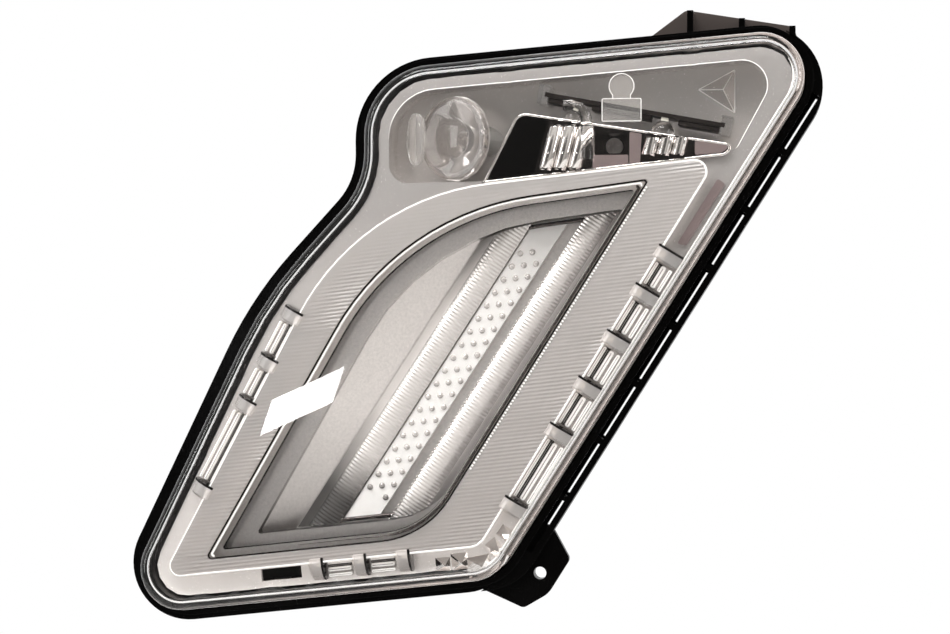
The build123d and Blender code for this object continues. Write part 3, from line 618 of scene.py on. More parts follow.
# Tray: which faces count as walls, the roughness of floor and walls, and the specks on both
TRAY_WALL = (-0.85, -0.7)
TRAY_ROUGH = (0.36, 0.08)
SPECK_SIZE = 0.0009
SPECK_RANGE = (0.25, 0.75, 0.9, 1.08)
TINT_LEAST = 0.985
ROUGH_SPREAD = 0.15
SHADE_LEAST = 0.4


def shader(name):
    """A new material with its Principled shader and its node tree."""
    material = bpy.data.materials.new(name)
    material.use_nodes = True
    tree = material.node_tree
    return material, tree.nodes["Principled BSDF"], tree


def feed(tree, value, target):
    """Links a socket to another one, or sets it to a plain value."""
    if isinstance(value, bpy.types.NodeSocket):
        tree.links.new(value, target)
    else:
        target.default_value = value


def object_place(tree):
    """Place on the lamp, in metres."""
    return tree.nodes.new("ShaderNodeTexCoord").outputs["Object"]


def math_node(tree, operation, first, second):
    """Result of an operation on two values."""
    node = tree.nodes.new("ShaderNodeMath")
    node.operation = operation
    tree.links.new(first, node.inputs[0])
    tree.links.new(second, node.inputs[1])
    return node.outputs["Value"]


def map_range(tree, source, low, high, low_value=0, high_value=1):
    """A value between two limits that follows a source between two others."""
    node = tree.nodes.new("ShaderNodeMapRange")
    node.inputs["From Min"].default_value = low
    node.inputs["From Max"].default_value = high
    node.inputs["To Min"].default_value = low_value
    node.inputs["To Max"].default_value = high_value
    tree.links.new(source, node.inputs["Value"])
    return node.outputs["Result"]


def mixed(tree, share, first, second, blend="MIX"):
    """A colour made of two by a share; each is a socket or a plain value."""
    node = tree.nodes.new("ShaderNodeMix")
    node.data_type = "RGBA"
    node.blend_type = blend
    for place, value in zip(MIX_INPUTS, (share, first, second)):
        feed(tree, value, node.inputs[place])
    return node.outputs[MIX_RESULT]


def scaled(tree, colour, factor):
    """A colour, linked or plain, scaled by a linked factor."""
    node = tree.nodes.new("ShaderNodeVectorMath")
    node.operation = "SCALE"
    feed(tree, colour, node.inputs[0])
    tree.links.new(factor, node.inputs["Scale"])
    return node.outputs["Vector"]


def share_along(tree, source, way, low, high, low_value=0, high_value=1):
    """A value between two limits by how far a vector reaches along a way."""
    reach = tree.nodes.new("ShaderNodeVectorMath")
    reach.operation = "DOT_PRODUCT"
    reach.inputs[1].default_value = way
    tree.links.new(source, reach.inputs[0])
    return map_range(tree, reach.outputs["Value"], low, high, low_value, high_value)


def noise(tree, size, detail=2):
    """Noise in object coordinates with features of about a size."""
    pattern = tree.nodes.new("ShaderNodeTexNoise")
    pattern.inputs["Scale"].default_value = 1 / size
    pattern.inputs["Detail"].default_value = detail
    tree.links.new(object_place(tree), pattern.inputs["Vector"])
    return pattern.outputs["Fac"]


def uneven(tree, size, low, high):
    """A value that wanders between two limits over patches of about a size."""
    return map_range(tree, noise(tree, size), NOISE_LOW, NOISE_HIGH, low, high)


def grain(tree, bsdf, texture, detail=3):
    """Fine moulded grain as bump."""
    size, depth, strength = texture
    bump = tree.nodes.new("ShaderNodeBump")
    bump.inputs["Strength"].default_value = strength
    bump.inputs["Distance"].default_value = depth
    tree.links.new(noise(tree, size, detail), bump.inputs["Height"])
    tree.links.new(bump.outputs["Normal"], bsdf.inputs["Normal"])
    return bump


def fade(material, way, low, high, low_value, high_value):
    """Scales a material's colour between two values along a way through the lamp."""
    tree = material.node_tree
    target = tree.nodes["Principled BSDF"].inputs["Base Color"]
    factor = share_along(tree, object_place(tree), way, low, high, low_value, high_value)
    colour = target.links[0].from_socket if target.links else target.default_value[:3]
    tree.links.new(scaled(tree, colour, factor), target)


def let_light(material, colour):
    """Lets the lamps' light through to what lies behind a clear piece."""
    tree = material.node_tree
    path = tree.nodes.new("ShaderNodeLightPath")
    open_way = tree.nodes.new("ShaderNodeBsdfTransparent")
    open_way.inputs["Color"].default_value = (*colour, 1)
    mix = tree.nodes.new("ShaderNodeMixShader")
    tree.links.new(path.outputs["Is Shadow Ray"], mix.inputs["Fac"])
    tree.links.new(tree.nodes["Principled BSDF"].outputs["BSDF"], mix.inputs[1])
    tree.links.new(open_way.outputs["BSDF"], mix.inputs[2])
    tree.links.new(mix.outputs["Shader"], tree.nodes["Material Output"].inputs["Surface"])


def plastic(name, colour, rough, texture=MOULDED, edge=0.0004, gloss=0.5):
    """Moulded opaque plastic with fine grain, uneven gloss and softly broken edges."""
    material, bsdf, tree = shader(name)
    bsdf.inputs["Base Color"].default_value = (*colour, 1)
    bsdf.inputs["Specular IOR Level"].default_value = gloss
    bump = grain(tree, bsdf, texture)
    tree.links.new(uneven(tree, 0.02, *rough), bsdf.inputs["Roughness"])
    bevel = tree.nodes.new("ShaderNodeBevel")
    bevel.samples = 4
    bevel.inputs["Radius"].default_value = edge
    tree.links.new(bevel.outputs["Normal"], bump.inputs["Normal"])
    return material


def behind_rim(material, body, bracket):
    """Greyer tone on the tub behind the rim as a painted sheen, and a lighter one on the bracket near the top
    as painted light from above.
    """
    tree = material.node_tree
    target = tree.nodes["Principled BSDF"].inputs["Base Color"]
    place = object_place(tree)
    tub = share_along(tree, place, BACK, *TUB_BACK)
    above = share_along(tree, place, UP, *BRACKET_UP)
    back = share_along(tree, place, BACK, *BRACKET_BACK)
    tone = mixed(tree, tub, target.default_value[:], (*body, 1))
    # Painted light from above on the top of the bracket
    painted_light_on_bracket = math_node(tree, "MULTIPLY", above, back)
    tree.links.new(mixed(tree, painted_light_on_bracket, tone, (*bracket, 1)), target)


def metal(name, colour, rough, texture, detail=3, share=1.0):
    """Silvered or plated surface with a slight unevenness; share is how much of it is bare metal."""
    material, bsdf, tree = shader(name)
    bsdf.inputs["Base Color"].default_value = (*colour, 1)
    bsdf.inputs["Metallic"].default_value = share
    grain(tree, bsdf, texture, detail)
    tree.links.new(uneven(tree, 0.0005, *rough), bsdf.inputs["Roughness"])
    return material


def satin(name, colour, wall_shade_colour):
    """Satin silver on what faces the front, and brighter-polished silver on the walls, darkened there by
    painted shade.
    """
    material, bsdf, tree = shader(name)
    bsdf.inputs["Metallic"].default_value = 1
    grain(tree, bsdf, SATIN_GRAIN)
    facing = tree.nodes.new("ShaderNodeNewGeometry").outputs["True Normal"]
    wall = share_along(tree, facing, BACK, *TRAY_WALL)
    # Painted shade darkens the walls
    tone = mixed(tree, wall, (*colour, 1), (*wall_shade_colour, 1))
    specks = map_range(tree, noise(tree, SPECK_SIZE), *SPECK_RANGE)
    tree.links.new(scaled(tree, tone, specks), bsdf.inputs["Base Color"])
    tree.links.new(map_range(tree, wall, 0, 1, *TRAY_ROUGH), bsdf.inputs["Roughness"])
    return material


def lens_edge(name, dark, pale):
    """Foot of the clear cover in its groove: painted shade makes it dark on the left, painted light makes it
    pale where it takes light on the right.
    """
    material, bsdf, tree = shader(name)
    # Painted shade on the left, painted light on the right
    share = share_along(tree, object_place(tree), SLANT_LEFT, *FOOT_LEFT, 1, 0)
    tree.links.new(mixed(tree, share, (*dark, 1), (*pale, 1)), bsdf.inputs["Base Color"])
    bsdf.inputs["Specular IOR Level"].default_value = 0.06
    tree.links.new(uneven(tree, 0.01, 0.12, 0.22), bsdf.inputs["Roughness"])
    let_light(material, (0.9, 0.9, 0.9))
    return material


def clear(name, colour, rough, ior, through=1.0, texture=None):
    """Clear or frosted plastic that lets the lamps' light through to what is behind it."""
    material, bsdf, tree = shader(name)
    deeper = [c * TINT_LEAST for c in colour]
    tint = mixed(tree, uneven(tree, 0.003, 0, 1), (*deeper, 1), (*colour, 1))
    tree.links.new(tint, bsdf.inputs["Base Color"])
    gloss = uneven(tree, 0.001, (1 - ROUGH_SPREAD) * rough, (1 + ROUGH_SPREAD) * rough)
    tree.links.new(gloss, bsdf.inputs["Roughness"])
    bsdf.inputs["IOR"].default_value = ior
    bsdf.inputs["Transmission Weight"].default_value = through
    if texture:
        grain(tree, bsdf, texture)
    let_light(material, [c * (SHADE_LEAST + (1 - SHADE_LEAST) * through) for c in colour])
    return material


BLACK = plastic("black_moulding", (0.0012, 0.0011, 0.0011), (0.16, 0.3), gloss=0.05)
# Painted sheen on the tub behind the rim, painted light on the bracket
behind_rim(BLACK, (0.034, 0.032, 0.031), (0.08, 0.067, 0.062))
GREY = plastic("grey_moulding", (0.4, 0.39, 0.37), (0.4, 0.5))
RUBBER = plastic("dark_rubber", (0.006, 0.006, 0.006), (0.6, 0.75), gloss=0.1)
BOARD = plastic("board_edge", (0.014, 0.011, 0.01), (0.35, 0.55), BOARD_GRAIN, SHARP_EDGE, 0.1)
CHIP = plastic("component_body", (0.03, 0.03, 0.03), (0.35, 0.5))
PHOSPHOR = plastic("led_phosphor", (0.8, 0.77, 0.68), (0.3, 0.4), PHOSPHOR_GRAIN, SHARP_EDGE)
SILVER = metal("silvered", (0.88, 0.84, 0.815), (0.268, 0.274), SILVER_GRAIN, 2, 0.62)
# Painted shade darkens the silvered reflector towards the top, and painted light brightens it further back in
# the recess
fade(SILVER, UP, 0.03, 0.13, 1.0, 0.62)
fade(SILVER, BACK, -0.004, 0.009, 1.0, 1.4)
# The last colour is painted shade on the pocket's walls
SATIN = satin("satin_silvered", (0.82, 0.78, 0.755), (0.2, 0.185, 0.18))
# Painted shade darkens the satin silver towards the bottom of the pocket
fade(SATIN, UP, 0.005, 0.06, 0.45, 1.0)
CHROME = metal("chromed", (0.88, 0.85, 0.83), (0.03, 0.07), CHROME_WAVES)
# Dark chrome for painted shade: the collar rings, dark link rods, dark lines at the frame and the lens's
# foot, and the dark sheet on the visor
SHADE_CHROME = metal("painted_shade_chrome", (0.02, 0.018, 0.018), (0.03, 0.08), CHROME_WAVES)
SHADED = metal("shaded_chrome", (0.13, 0.115, 0.11), (0.06, 0.14), CHROME_WAVES)
ROSY = metal("rosy_chrome", (0.34, 0.27, 0.265), (0.24, 0.26), CHROME_WAVES, share=0.6)
STEEL = metal("plated_steel", (0.62, 0.58, 0.56), (0.3, 0.4), PLATED, share=0.6)
BRASS = metal("brass_pin", (0.78, 0.62, 0.32), (0.2, 0.3), PLATED)
BARS = metal("bar_optic", (0.7, 0.67, 0.648), (0.2, 0.27), BAR_GRAIN, share=0.6)
# Painted shadow darkens the bars towards their lower ends
fade(BARS, SLANT_WAY, -0.018, 0.002, 0.12, 1.0)
FLANK = metal("bar_flank", (0.7, 0.67, 0.648), (0.34, 0.4), BAR_GRAIN, share=0.15)
# Painted shadow darkens the flanks towards their lower ends
fade(FLANK, SLANT_WAY, -0.018, 0.02, 0.12, 1.0)
LENS = clear("clear_lens", (0.985, 0.98, 0.975), 0.0, 1.5)
LENS_EDGE = lens_edge("clear_lens_edge", (0.002, 0.002, 0.002), (0.8, 0.744, 0.712))
OPTIC = clear("clear_optic", (0.965, 0.955, 0.945), 0.03, 1.49)
THICK = clear("thick_optic", (0.57, 0.54, 0.522), 0.03, 1.49, 0.86)
CLEARER = clear("clip_optic", (0.93, 0.91, 0.89), 0.06, 1.35, 0.9)
FROSTED = clear("frosted_optic", (0.93, 0.9, 0.88), 0.08, 1.45, 0.72)
RIBBED = clear("ribbed_optic", (0.9, 0.865, 0.84), 0.12, 1.49, 0.66, RIB_GRAIN)
# Painted light and shade: the ribbed frame lightens towards the top and darkens towards the bottom
fade(RIBBED, UP, 0.0, 0.14, 0.8, 1.06)
# Near-opaque white rod optic, which on the link rods and on the lines and beads along edges is painted
# highlight
BRIGHT = clear("rod_optic_and_painted_highlight", (0.98, 0.965, 0.95), 0.1, 1.49, 0.1, ROD_GRAIN)
WHITE = clear("strip_optic", (0.93, 0.915, 0.895), 0.1, 1.49, 0.1, ROD_GRAIN)

NODE_MATERIALS = {
    "housing": BLACK, "lens_sealant": RUBBER, "vent_cap": RUBBER, "outer_lens": LENS,
    "main_reflector": SILVER, "marker_cup": SILVER, "pocket_reflector": SATIN, "visor": SHADED,
    "visor_screw": STEEL, "driver_screws": STEEL, "connector_pins": BRASS, "marker_holder": GREY,
    "driver_components": CHIP, "board_clips": CLEARER, "board_ear": CLEARER,
}
for name, node in nodes.items():
    if name in NODE_MATERIALS:
        material = NODE_MATERIALS[name]
    elif name.endswith("board"):
        material = BOARD
    elif name.endswith(("leds", "led")):
        material = PHOSPHOR
    else:
        material = OPTIC
    node.data.materials.clear()
    node.data.materials.append(material)


# Outer lens: rounded cap, crowned about the slant
def crown(x, z, top):
    """Height of the crowned surface."""
    d = slant_place(x, z)[1]
    return top - LENS_CROWN_R + math.sqrt(LENS_CROWN_R**2 - d * d)


def lens_skin(bm, inset, top, radius):
    """One skin of the lens from its foot up to the cap; returns the foot ring."""
    rings = []
    for height in (LENS_FOOT, LENS_SEAT):
        rings.append([bm.verts.new(spot(x, z, height)) for x, z in rim_loop(inset)])
    for k in range(LENS_TURNS + 1):
        a = math.radians(90 * k / LENS_TURNS)
        drop = radius * (1 - math.sin(a))
        loop = rim_loop(inset + radius * (1 - math.cos(a)))
        rings.append([bm.verts.new(spot(x, z, crown(x, z, top) - drop)) for x, z in loop])
    skin(bm, rings[:2], 1)
    skin(bm, rings[1:])
    origin = spot(*SLANT_FOOT, 0)
    strips = cut_strips(bm, [bm.faces.new(rings[-1])], origin, SLANT_LEFT, *LENS_CUTS_LEFT)
    strips = cut_strips(bm, strips, origin, SLANT_WAY, *LENS_CUTS_ALONG)
    edge = set(rings[-1])
    lift([vert for vert in corners_of(strips) if vert not in edge], lambda x, z: crown(x, z, top))
    return rings[0]


def make_lens():
    """Clear cover with its foot."""
    bm = bmesh.new()
    outside = lens_skin(bm, 0, LENS_TOP, LENS_ROUND)
    inside = lens_skin(bm, LENS_WALL, LENS_TOP - LENS_WALL, LENS_INNER_ROUND)
    skin(bm, [outside, inside], 1)
    piece("lens_cap", bm, [LENS, LENS_EDGE], ["outer_lens"], 40)


# Light-guide frame with fine ribs, rods and collars
def wave(place, pitch, depth):
    """Depth below the crest of a row of ribs."""
    return depth * (0.5 + 0.5 * math.cos(2 * math.pi * place / pitch))


def rib_share(x, z, inner):
    """Share of the full rib depth: the upper band and the outer part of the left band are almost plain."""
    away = min(math.hypot(x - px, z - pz) for px, pz in inner)
    if slant_place(x, z)[1] < 0 or x > RIB_CORNER_X:
        return limited((away - RIB_EDGE) / RIB_GROW, RIB_LEAST)
    share = 1 - PLAIN_SHARE * limited((z - PLAIN_FROM - RIB_LEAN * x) / PLAIN_OVER)
    return share * limited((LEFT_RIBS - away) / LEFT_RIBS_END)


def frame_rows():
    """Sides of the frame that carry collars: start, way along, way out, places and reach."""
    left_low, right_foot, right_head, left_high = FRAME_OUTER
    rows = []
    for start, end, spots, side, reach in (
        (left_low, left_high, LEFT_SPOTS, 1, LEFT_REACH),
        (right_foot, right_head, RIGHT_SPOTS, -1, RIGHT_REACH),
        (left_low, right_foot, LOWER_SPOTS, -1, LOWER_REACH),
    ):
        along = Vector((end[0] - start[0], 0, end[1] - start[1])).normalized()
        out = Vector((-along.z, 0, along.x)) * side
        rows.append((start, along, out, spots, reach))
    return rows


def collar(bm, foot, along, out, reach, length, mark):
    """Collar with a rounded, sloping outer end; its profile gives distance out and share of the height."""
    profile = [
        (COLLAR_BACK, 0), (reach, 0), (reach, 0.45), (0.85 * reach, 0.85), (0.6 * reach, 1.15),
        (0.2 * reach, 1.35), (-1.4, 1.35), (-1.8, 1.25), (-1.8, 1.0), (COLLAR_BACK, 1.0),
    ]
    rings = []
    for t, shrink in COLLAR_SLICES:
        ring = []
        for o, h in profile:
            o = COLLAR_BACK + (o - COLLAR_BACK) * shrink
            h = h * COUPLER_HEIGHT * shrink
            ring.append(bm.verts.new(foot + (along * t * length + out * o + FRONT * h) * MM))
        rings.append(ring)
    skin(bm, rings, mark)
    end_faces(bm, rings, mark)


def link(bm, middle, along, out, width, length):
    """Row of lengthwise rods between two collars."""
    # Dark rods are painted shade and bright rods are painted highlight
    for share, lead, mark in LINK_RODS:
        size = (length, width * share, LINK_HEIGHT * (LINK_ROD_LOW + LINK_ROD_RISE * share))
        place = middle + out * (LINK_START + width * lead) * MM
        place += FRONT * (size[2] - LINK_HEIGHT) / 2 * MM
        block(bm, place, along, out, size, LINK_ROD_ROUND * size[1], mark)


def make_frame():
    """Ribbed frame with its collars, their dark rings of painted shade and the links between them."""
    frosted, shade_mark = 1, 2
    bm = bmesh.new()
    outer = rounded(FRAME_OUTER, FRAME_OUTER_RADII, 3)
    inner = rounded(FRAME_INNER, FRAME_INNER_RADII, 3)
    faces = plate(bm, [outer, inner], LEDGE, FRAME_FRONT)
    faces = cut_strips(bm, faces, Vector(), Vector((-RIB_LEAN, 0, 1)), *RIB_CUTS)
    dense = rounded(FRAME_INNER, FRAME_INNER_RADII, 3, [20, 20, 20, 40])

    def shape(x, z):
        return FRAME_FRONT - wave(z - RIB_LEAN * x, FRAME_RIB, FRAME_RIB_DEPTH * rib_share(x, z, dense))

    lift(corners_of(faces), shape)
    for start, along, out, spots, reach in frame_rows():
        for s in spots:
            foot = spot(*start, LEDGE) + along * s * MM
            collar(bm, foot, along, out, reach + COLLAR_PAST, COUPLER_LENGTH, frosted)
            foot = foot + along * COUPLER_LENGTH * RING_AT * MM
            # Dark ring of painted shade across the collar
            collar(bm, foot, along, out, reach + RING_PAST, RING_LENGTH, shade_mark)
        for s, after in zip(spots, spots[1:]):
            length = after - s - COUPLER_LENGTH - 2 * LINK_GAP
            middle = spot(*start, LEDGE + LINK_HEIGHT / 2) + along * (s + after) / 2 * MM
            link(bm, middle, along, out, reach + LINK_PAST, length)
    piece("ribbed_frame", bm, [RIBBED, FROSTED, SHADE_CHROME, BRIGHT], ["light_frame"], 24)


# Bars and strip in the pocket
def make_bar(name, start, side, node):
    """Bar across the pocket with a rounded, ribbed back and a plain bevel on its outer side."""
    bm = bmesh.new()
    low, high = sorted((start, start + side * (BAR_W + BAR_BEVEL)))
    floor = tray_loop(POCKET_INSET, POCKET_IN)
    faces = plate(bm, [between(floor, low, high)], POCKET_FLOOR, POCKET_FLOOR + BAR_H)
    origin = spot(*SLANT_FOOT, 0)
    faces = cut_strips(bm, faces, origin, SLANT_WAY, *BAR_CUTS_ALONG)
    faces = cut_strips(bm, faces, origin, SLANT_LEFT, low, high, (BAR_W + BAR_BEVEL) / BAR_PARTS)
    middle = start + side * BAR_W / 2

    def shape(x, z):
        s, d = slant_place(x, z)
        t = side * (d - middle) / (BAR_W / 2)
        if t > 1:
            return POCKET_FLOOR + BAR_H - BAR_CROWN - BAR_BEVEL_DROP * (t - 1) * BAR_W / 2 / BAR_BEVEL
        return POCKET_FLOOR + BAR_H - BAR_CROWN * t * t - wave(s, BAR_RIB, BAR_RIB_DEPTH)

    lift(corners_of(faces), shape)
    for face in faces:
        x, _, z = face.calc_center_median() / MM
        if side * (slant_place(x, z)[1] - start) > BAR_W:
            face.material_index = 1
    piece(name, bm, [BARS, FLANK], [node], 24)


def make_strip():
    """Band between the bars with its rows of round dots."""
    bm = bmesh.new()
    half = STRIP_W / 2
    floor = tray_loop(POCKET_INSET, POCKET_IN)
    top = POCKET_FLOOR + STRIP_H
    plate(bm, [between(floor, -half, half)], POCKET_FLOOR, top)
    profile = [(0.0, -DOT_H)]
    for k in range(1, DOT_TURNS + 1):
        a = math.radians(90 * k / DOT_TURNS)
        profile.append((DOT_R * math.sin(a), -DOT_H * math.cos(a)))
    profile.append((DOT_R, DOT_SUNK))
    for row in range(DOT_ROWS):
        for column in range(DOT_COLUMNS):
            s = DOT_START + (row + 0.5 + 0.5 * (column % 2)) * DOT_PITCH
            d = (column - (DOT_COLUMNS - 1) / 2) * STRIP_W / DOT_COLUMNS
            lathe(bm, on_slant(s, d, top), FRONT, SLANT_WAY, profile, steps=20, mark=1)
    piece("dotted_band", bm, [WHITE, BARS], ["dotted_strip"], 40)


# Beads and lines along edges
def make_pocket_trim():
    """Beads along the pocket's edges, and lines there of painted shade and painted highlight."""
    shade_mark, bright, shaded = 1, 2, 3
    bm = bmesh.new()
    low, high = Vector(FRAME_INNER[1]), Vector(FRAME_INNER[2])
    way = (high - low).normalized()
    side = Vector((-way.y, way.x))
    for i in range(int(((high - low).length - EDGE_BEADS_LEFT_OUT) / EDGE_BEAD_STEP)):
        x, z = low + way * (EDGE_BEADS_FROM + i * EDGE_BEAD_STEP) - side * EDGE_BEAD_OUT
        bead(bm, spot(x, z, FRAME_FRONT + EDGE_BEAD_LIFT), bright)
    # Painted shade: a dark line where the pocket's right wall lies in shade
    inset, height, radius = WALL_LINE
    wall = [point for point in tray_loop(inset) if slant_place(*point)[1] < WALL_LINE_LEFT]
    line(bm, [WALL_LINE_START] + wall, height, radius, mark=shaded, taper=3)
    for i in range(BAR_BEADS):
        left = -STRIP_W / 2 - RIGHT_BAND + BAR_BEAD_IN
        bead(bm, on_slant(BAR_BEADS_FROM + i * BAR_BEAD_STEP, left, POCKET_FLOOR + BAR_BEAD_H))
    # Painted shade along the frame's inner edge and its step, painted highlight on the line just inside the
    # edge
    edge_line(bm, tray_loop, EDGE_LINE, closed=True, mark=shade_mark)
    edge_line(bm, tray_loop, INNER_LINE, lambda x, z: z > INNER_LINE_LOW or x < INNER_LINE_LEFT, mark=bright)
    edge_line(bm, tray_loop, STEP_LINE, closed=True, mark=shade_mark)
    # Painted shadow at the ends of the strip and the bars
    inset, height, radius = END_LINE
    floor = between(tray_loop(inset, POCKET_IN), *END_LINE_LEFT)
    for sign in (1, -1):
        ends = [point for point in floor if sign * (slant_place(*point)[0] - END_LINE_MIDDLE) > 0]
        ends.sort(key=lambda point: slant_place(*point)[1])
        line(bm, ends, height, radius, mark=shaded)
    piece("pocket_trim", bm, [CHROME, SHADE_CHROME, BRIGHT, SHADED], angle=60)


def make_edge_lines():
    """Painted highlights along the lens's foot, the frame, the recess, the ear and the small prism, and
    painted shade along the lens's foot on the left.
    """
    shade_mark = 1
    bm = bmesh.new()

    def on_left(x, z):
        return slant_place(x, z)[1] > DARK_LIP_LEFT and z < DARK_LIP_TOP

    # Painted shade along the lens's foot on the left, painted highlight along it on the right
    edge_line(bm, rim_loop, DARK_LIP, on_left, mark=shade_mark, taper=4)
    edge_line(bm, rim_loop, BRIGHT_LIP, lambda x, z: slant_place(x, z)[1] < BRIGHT_LIP_LEFT, taper=6)
    # Painted highlights along the frame's outer edge, the recess, the ear and the prism's edges
    edge_line(bm, frame_loop, OUTER_LINE, closed=True)
    over = run_of(rounded(RECESS, RECESS_RADII, 6), lambda x, z: z > RECESS_LINE_LOW)
    line(bm, over, RECESS_LINE_H, RECESS_LINE_R, taper=5)
    ear_x, ear_z = EAR_AT
    arch = [(ear_x + EAR_NECK, EAR_STEP)]
    for k in range(EAR_TURNS + 1):
        a = math.radians(-45 + 270 * k / EAR_TURNS)
        arch.append((ear_x + EAR_R * math.cos(a), ear_z + EAR_R * math.sin(a)))
    arch.append((ear_x - EAR_NECK, EAR_STEP))
    line(bm, arch, EAR_FRONT, EAR_LINE_R)
    left, right = ear_x - EAR_HALF, ear_x + EAR_HALF
    foot = [(left, EAR_STEP), (left, EAR_LOW), (right, EAR_LOW), (right, EAR_STEP)]
    line(bm, rounded(foot, [EAR_CORNER_R] * len(foot), 30), EAR_FRONT, EAR_LINE_R, closed=True)
    tip = spot(*PRISM_TIP, RECESS_FLOOR + PRISM_RISE)
    for i, corner in enumerate(PRISM):
        rod(bm, [spot(*PRISM[i - 1], RECESS_FLOOR), spot(*corner, RECESS_FLOOR)], PRISM_FOOT_R)
        rod(bm, [spot(*corner, RECESS_FLOOR), tip], PRISM_EDGE_R)
    piece("edge_lines", bm, [BRIGHT, SHADE_CHROME], angle=60)


# Upper chamber: visor trim, marker optics and light pipes
def flute(bm, foot, lean, length):
    """Half-round skin of one flute."""
    rings = []
    for t, gain in FLUTE_SLICES:
        ring = []
        for k in range(FLUTE_STEPS + 1):
            a = math.pi * k / FLUTE_STEPS
            way = Vector((math.cos(a), -math.sin(a), 0))
            ring.append(bm.verts.new(foot + lean * length * t * MM + way * (FLUTE_R + gain) * MM))
        rings.append(ring)
    for first, last in zip(rings, rings[1:]):
        for k in range(FLUTE_STEPS):
            bm.faces.new((first[k], first[k + 1], last[k + 1], last[k]))
    end_faces(bm, rings)


def make_visor_trim():
    """Bright edge, flute skins, a dark sheet of painted reflection and tinted panels."""
    bm = bmesh.new()
    edge_line(bm, visor_loop, VISOR_LINE, closed=True)
    lean = Vector((FLUTE_LEAN, 0, 1)).normalized()
    for x, z, length in FLUTES:
        for i in range(FLUTE_COUNT):
            flute(bm, spot(x + i * 2 * FLUTE_R, z, VISOR_FRONT), lean, length)
    piece("visor_trim", bm, [CHROME], angle=50)
    # Painted reflection: a dark sheet for the dark reflection in the chrome visor
    bm = bmesh.new()
    plate(bm, [rounded(VISOR_SHADE, VISOR_SHADE_RADII, 10)], *VISOR_SHADE_H)
    piece("visor_shade", bm, [SHADE_CHROME], angle=40)
    bm = bmesh.new()
    for panel, radii in VISOR_PANELS:
        plate(bm, [rounded(panel, radii, 15)], *VISOR_PANEL_H)
    plate(bm, [rounded(LEDGE_FACET, LEDGE_FACET_RADII, 15)], *LEDGE_FACET_H)
    piece("visor_panels", bm, [ROSY], angle=40)


def leaning(tilt):
    """Axis that leans to the left of the front."""
    lean = math.radians(tilt)
    return Vector((-math.sin(lean), -math.cos(lean), 0))


def make_marker():
    """Round marker lens and the oval lens beside it on its leg."""
    bm = bmesh.new()
    lathe(bm, spot(*MARKER_AT, MARKER_H), leaning(MARKER_TILT), UP, MARKER_PROFILE, steps=72)
    piece("marker_lens", bm, [THICK], ["marker_collimator"], 28)
    bm = bmesh.new()
    axis = leaning(SIDE_TILT)
    half = SIDE_T / 2
    profile = [(0, 0), (SIDE_R * SIDE_LENS_FLAT, SIDE_LENS_DOME)]
    for k in range(2, SIDE_LENS_TURNS + 1):
        a = math.radians(180 * k / SIDE_LENS_TURNS)
        edge = SIDE_R - half * 0.5 + half * 0.5 * math.sin(a)
        profile.append((edge, half - half * math.cos(a)))
    profile.append((0, SIDE_T))
    centre = spot(*SIDE_AT, SIDE_H)
    lathe(bm, centre, axis, UP.cross(axis), profile, steps=56, squeeze=SIDE_ACROSS / SIDE_R)
    leg_x = SIDE_AT[0] - SIDE_ACROSS / 2 + SIDE_T / 2
    leg = spot(leg_x, SIDE_AT[1], RECESS_FLOOR + SIDE_LEG_LENGTH / 2)
    block(bm, leg, FRONT, UP, (SIDE_LEG_LENGTH, SIDE_LEG, SIDE_T), SIDE_LEG_ROUND)
    piece("side_lens", bm, [CLEARER], ["side_optic"], 30)


def make_pipes():
    """Light pipes and dark blocks of painted shade under the upper board, and the bent pipe at the visor."""
    bm = bmesh.new()
    start, end = Vector(BOARD_ENDS[0]), Vector(BOARD_ENDS[1])
    way = (end - start).normalized()
    down = Vector((way.y, -way.x))
    along = Vector((way.x, 0, way.y))
    under = Vector((down.x, 0, down.y))
    for s in PIPE_SPOTS:
        x, z = start + way * s + down * PIPE_DROP
        lathe(bm, spot(x, z, PIPE_H), -under, FRONT, PIPE_PROFILE, steps=40)
    piece("light_pipes", bm, [OPTIC], ["upper_light_pipes"], 30)
    bm = bmesh.new()
    # Painted shade: dark blocks where the underside of the upper board lies in shade
    for low, high in BOARD_SHADE_SPANS:
        x, z = start + way * (low + high) / 2 + down * BOARD_SHADE_DROP
        block(bm, spot(x, z, BOARD_SHADE_H), along, under, (high - low, BOARD_SHADE_T, BOARD_SHADE_DEPTH), BOARD_SHADE_ROUND)
    piece("board_painted_shade", bm, [BOARD], angle=40)
    bm = bmesh.new()
    line(bm, BENT_PIPE, BENT_PIPE_H, BENT_PIPE_R, sides=20)
    piece("bent_pipe", bm, [OPTIC], angle=50)


def make_corner():
    """Facets at the lower right corner of the frame."""
    bm = bmesh.new()
    for x, z, width, depth, tall, turn in CORNER_FACETS:
        way = Vector((math.cos(math.radians(turn)), 0, math.sin(math.radians(turn)))) * width
        out = Vector((-way.z, 0, way.x)) * depth / width
        base = []
        for a, b in ((-0.5, -0.5), (0.5, -0.5), (0.5, 0.5), (-0.5, 0.5)):
            base.append(bm.verts.new(spot(x, z, LEDGE) + (way * a + out * b) * MM))
        lead = way * FACET_TIP_ALONG + out * FACET_TIP_OUT
        tip = bm.verts.new(spot(x, z, LEDGE + tall) + lead * MM)
        for i in range(len(base)):
            bm.faces.new((base[i - 1], base[i], tip))
        bm.faces.new(base)
    piece("corner_facets", bm, [CHROME], angle=10)


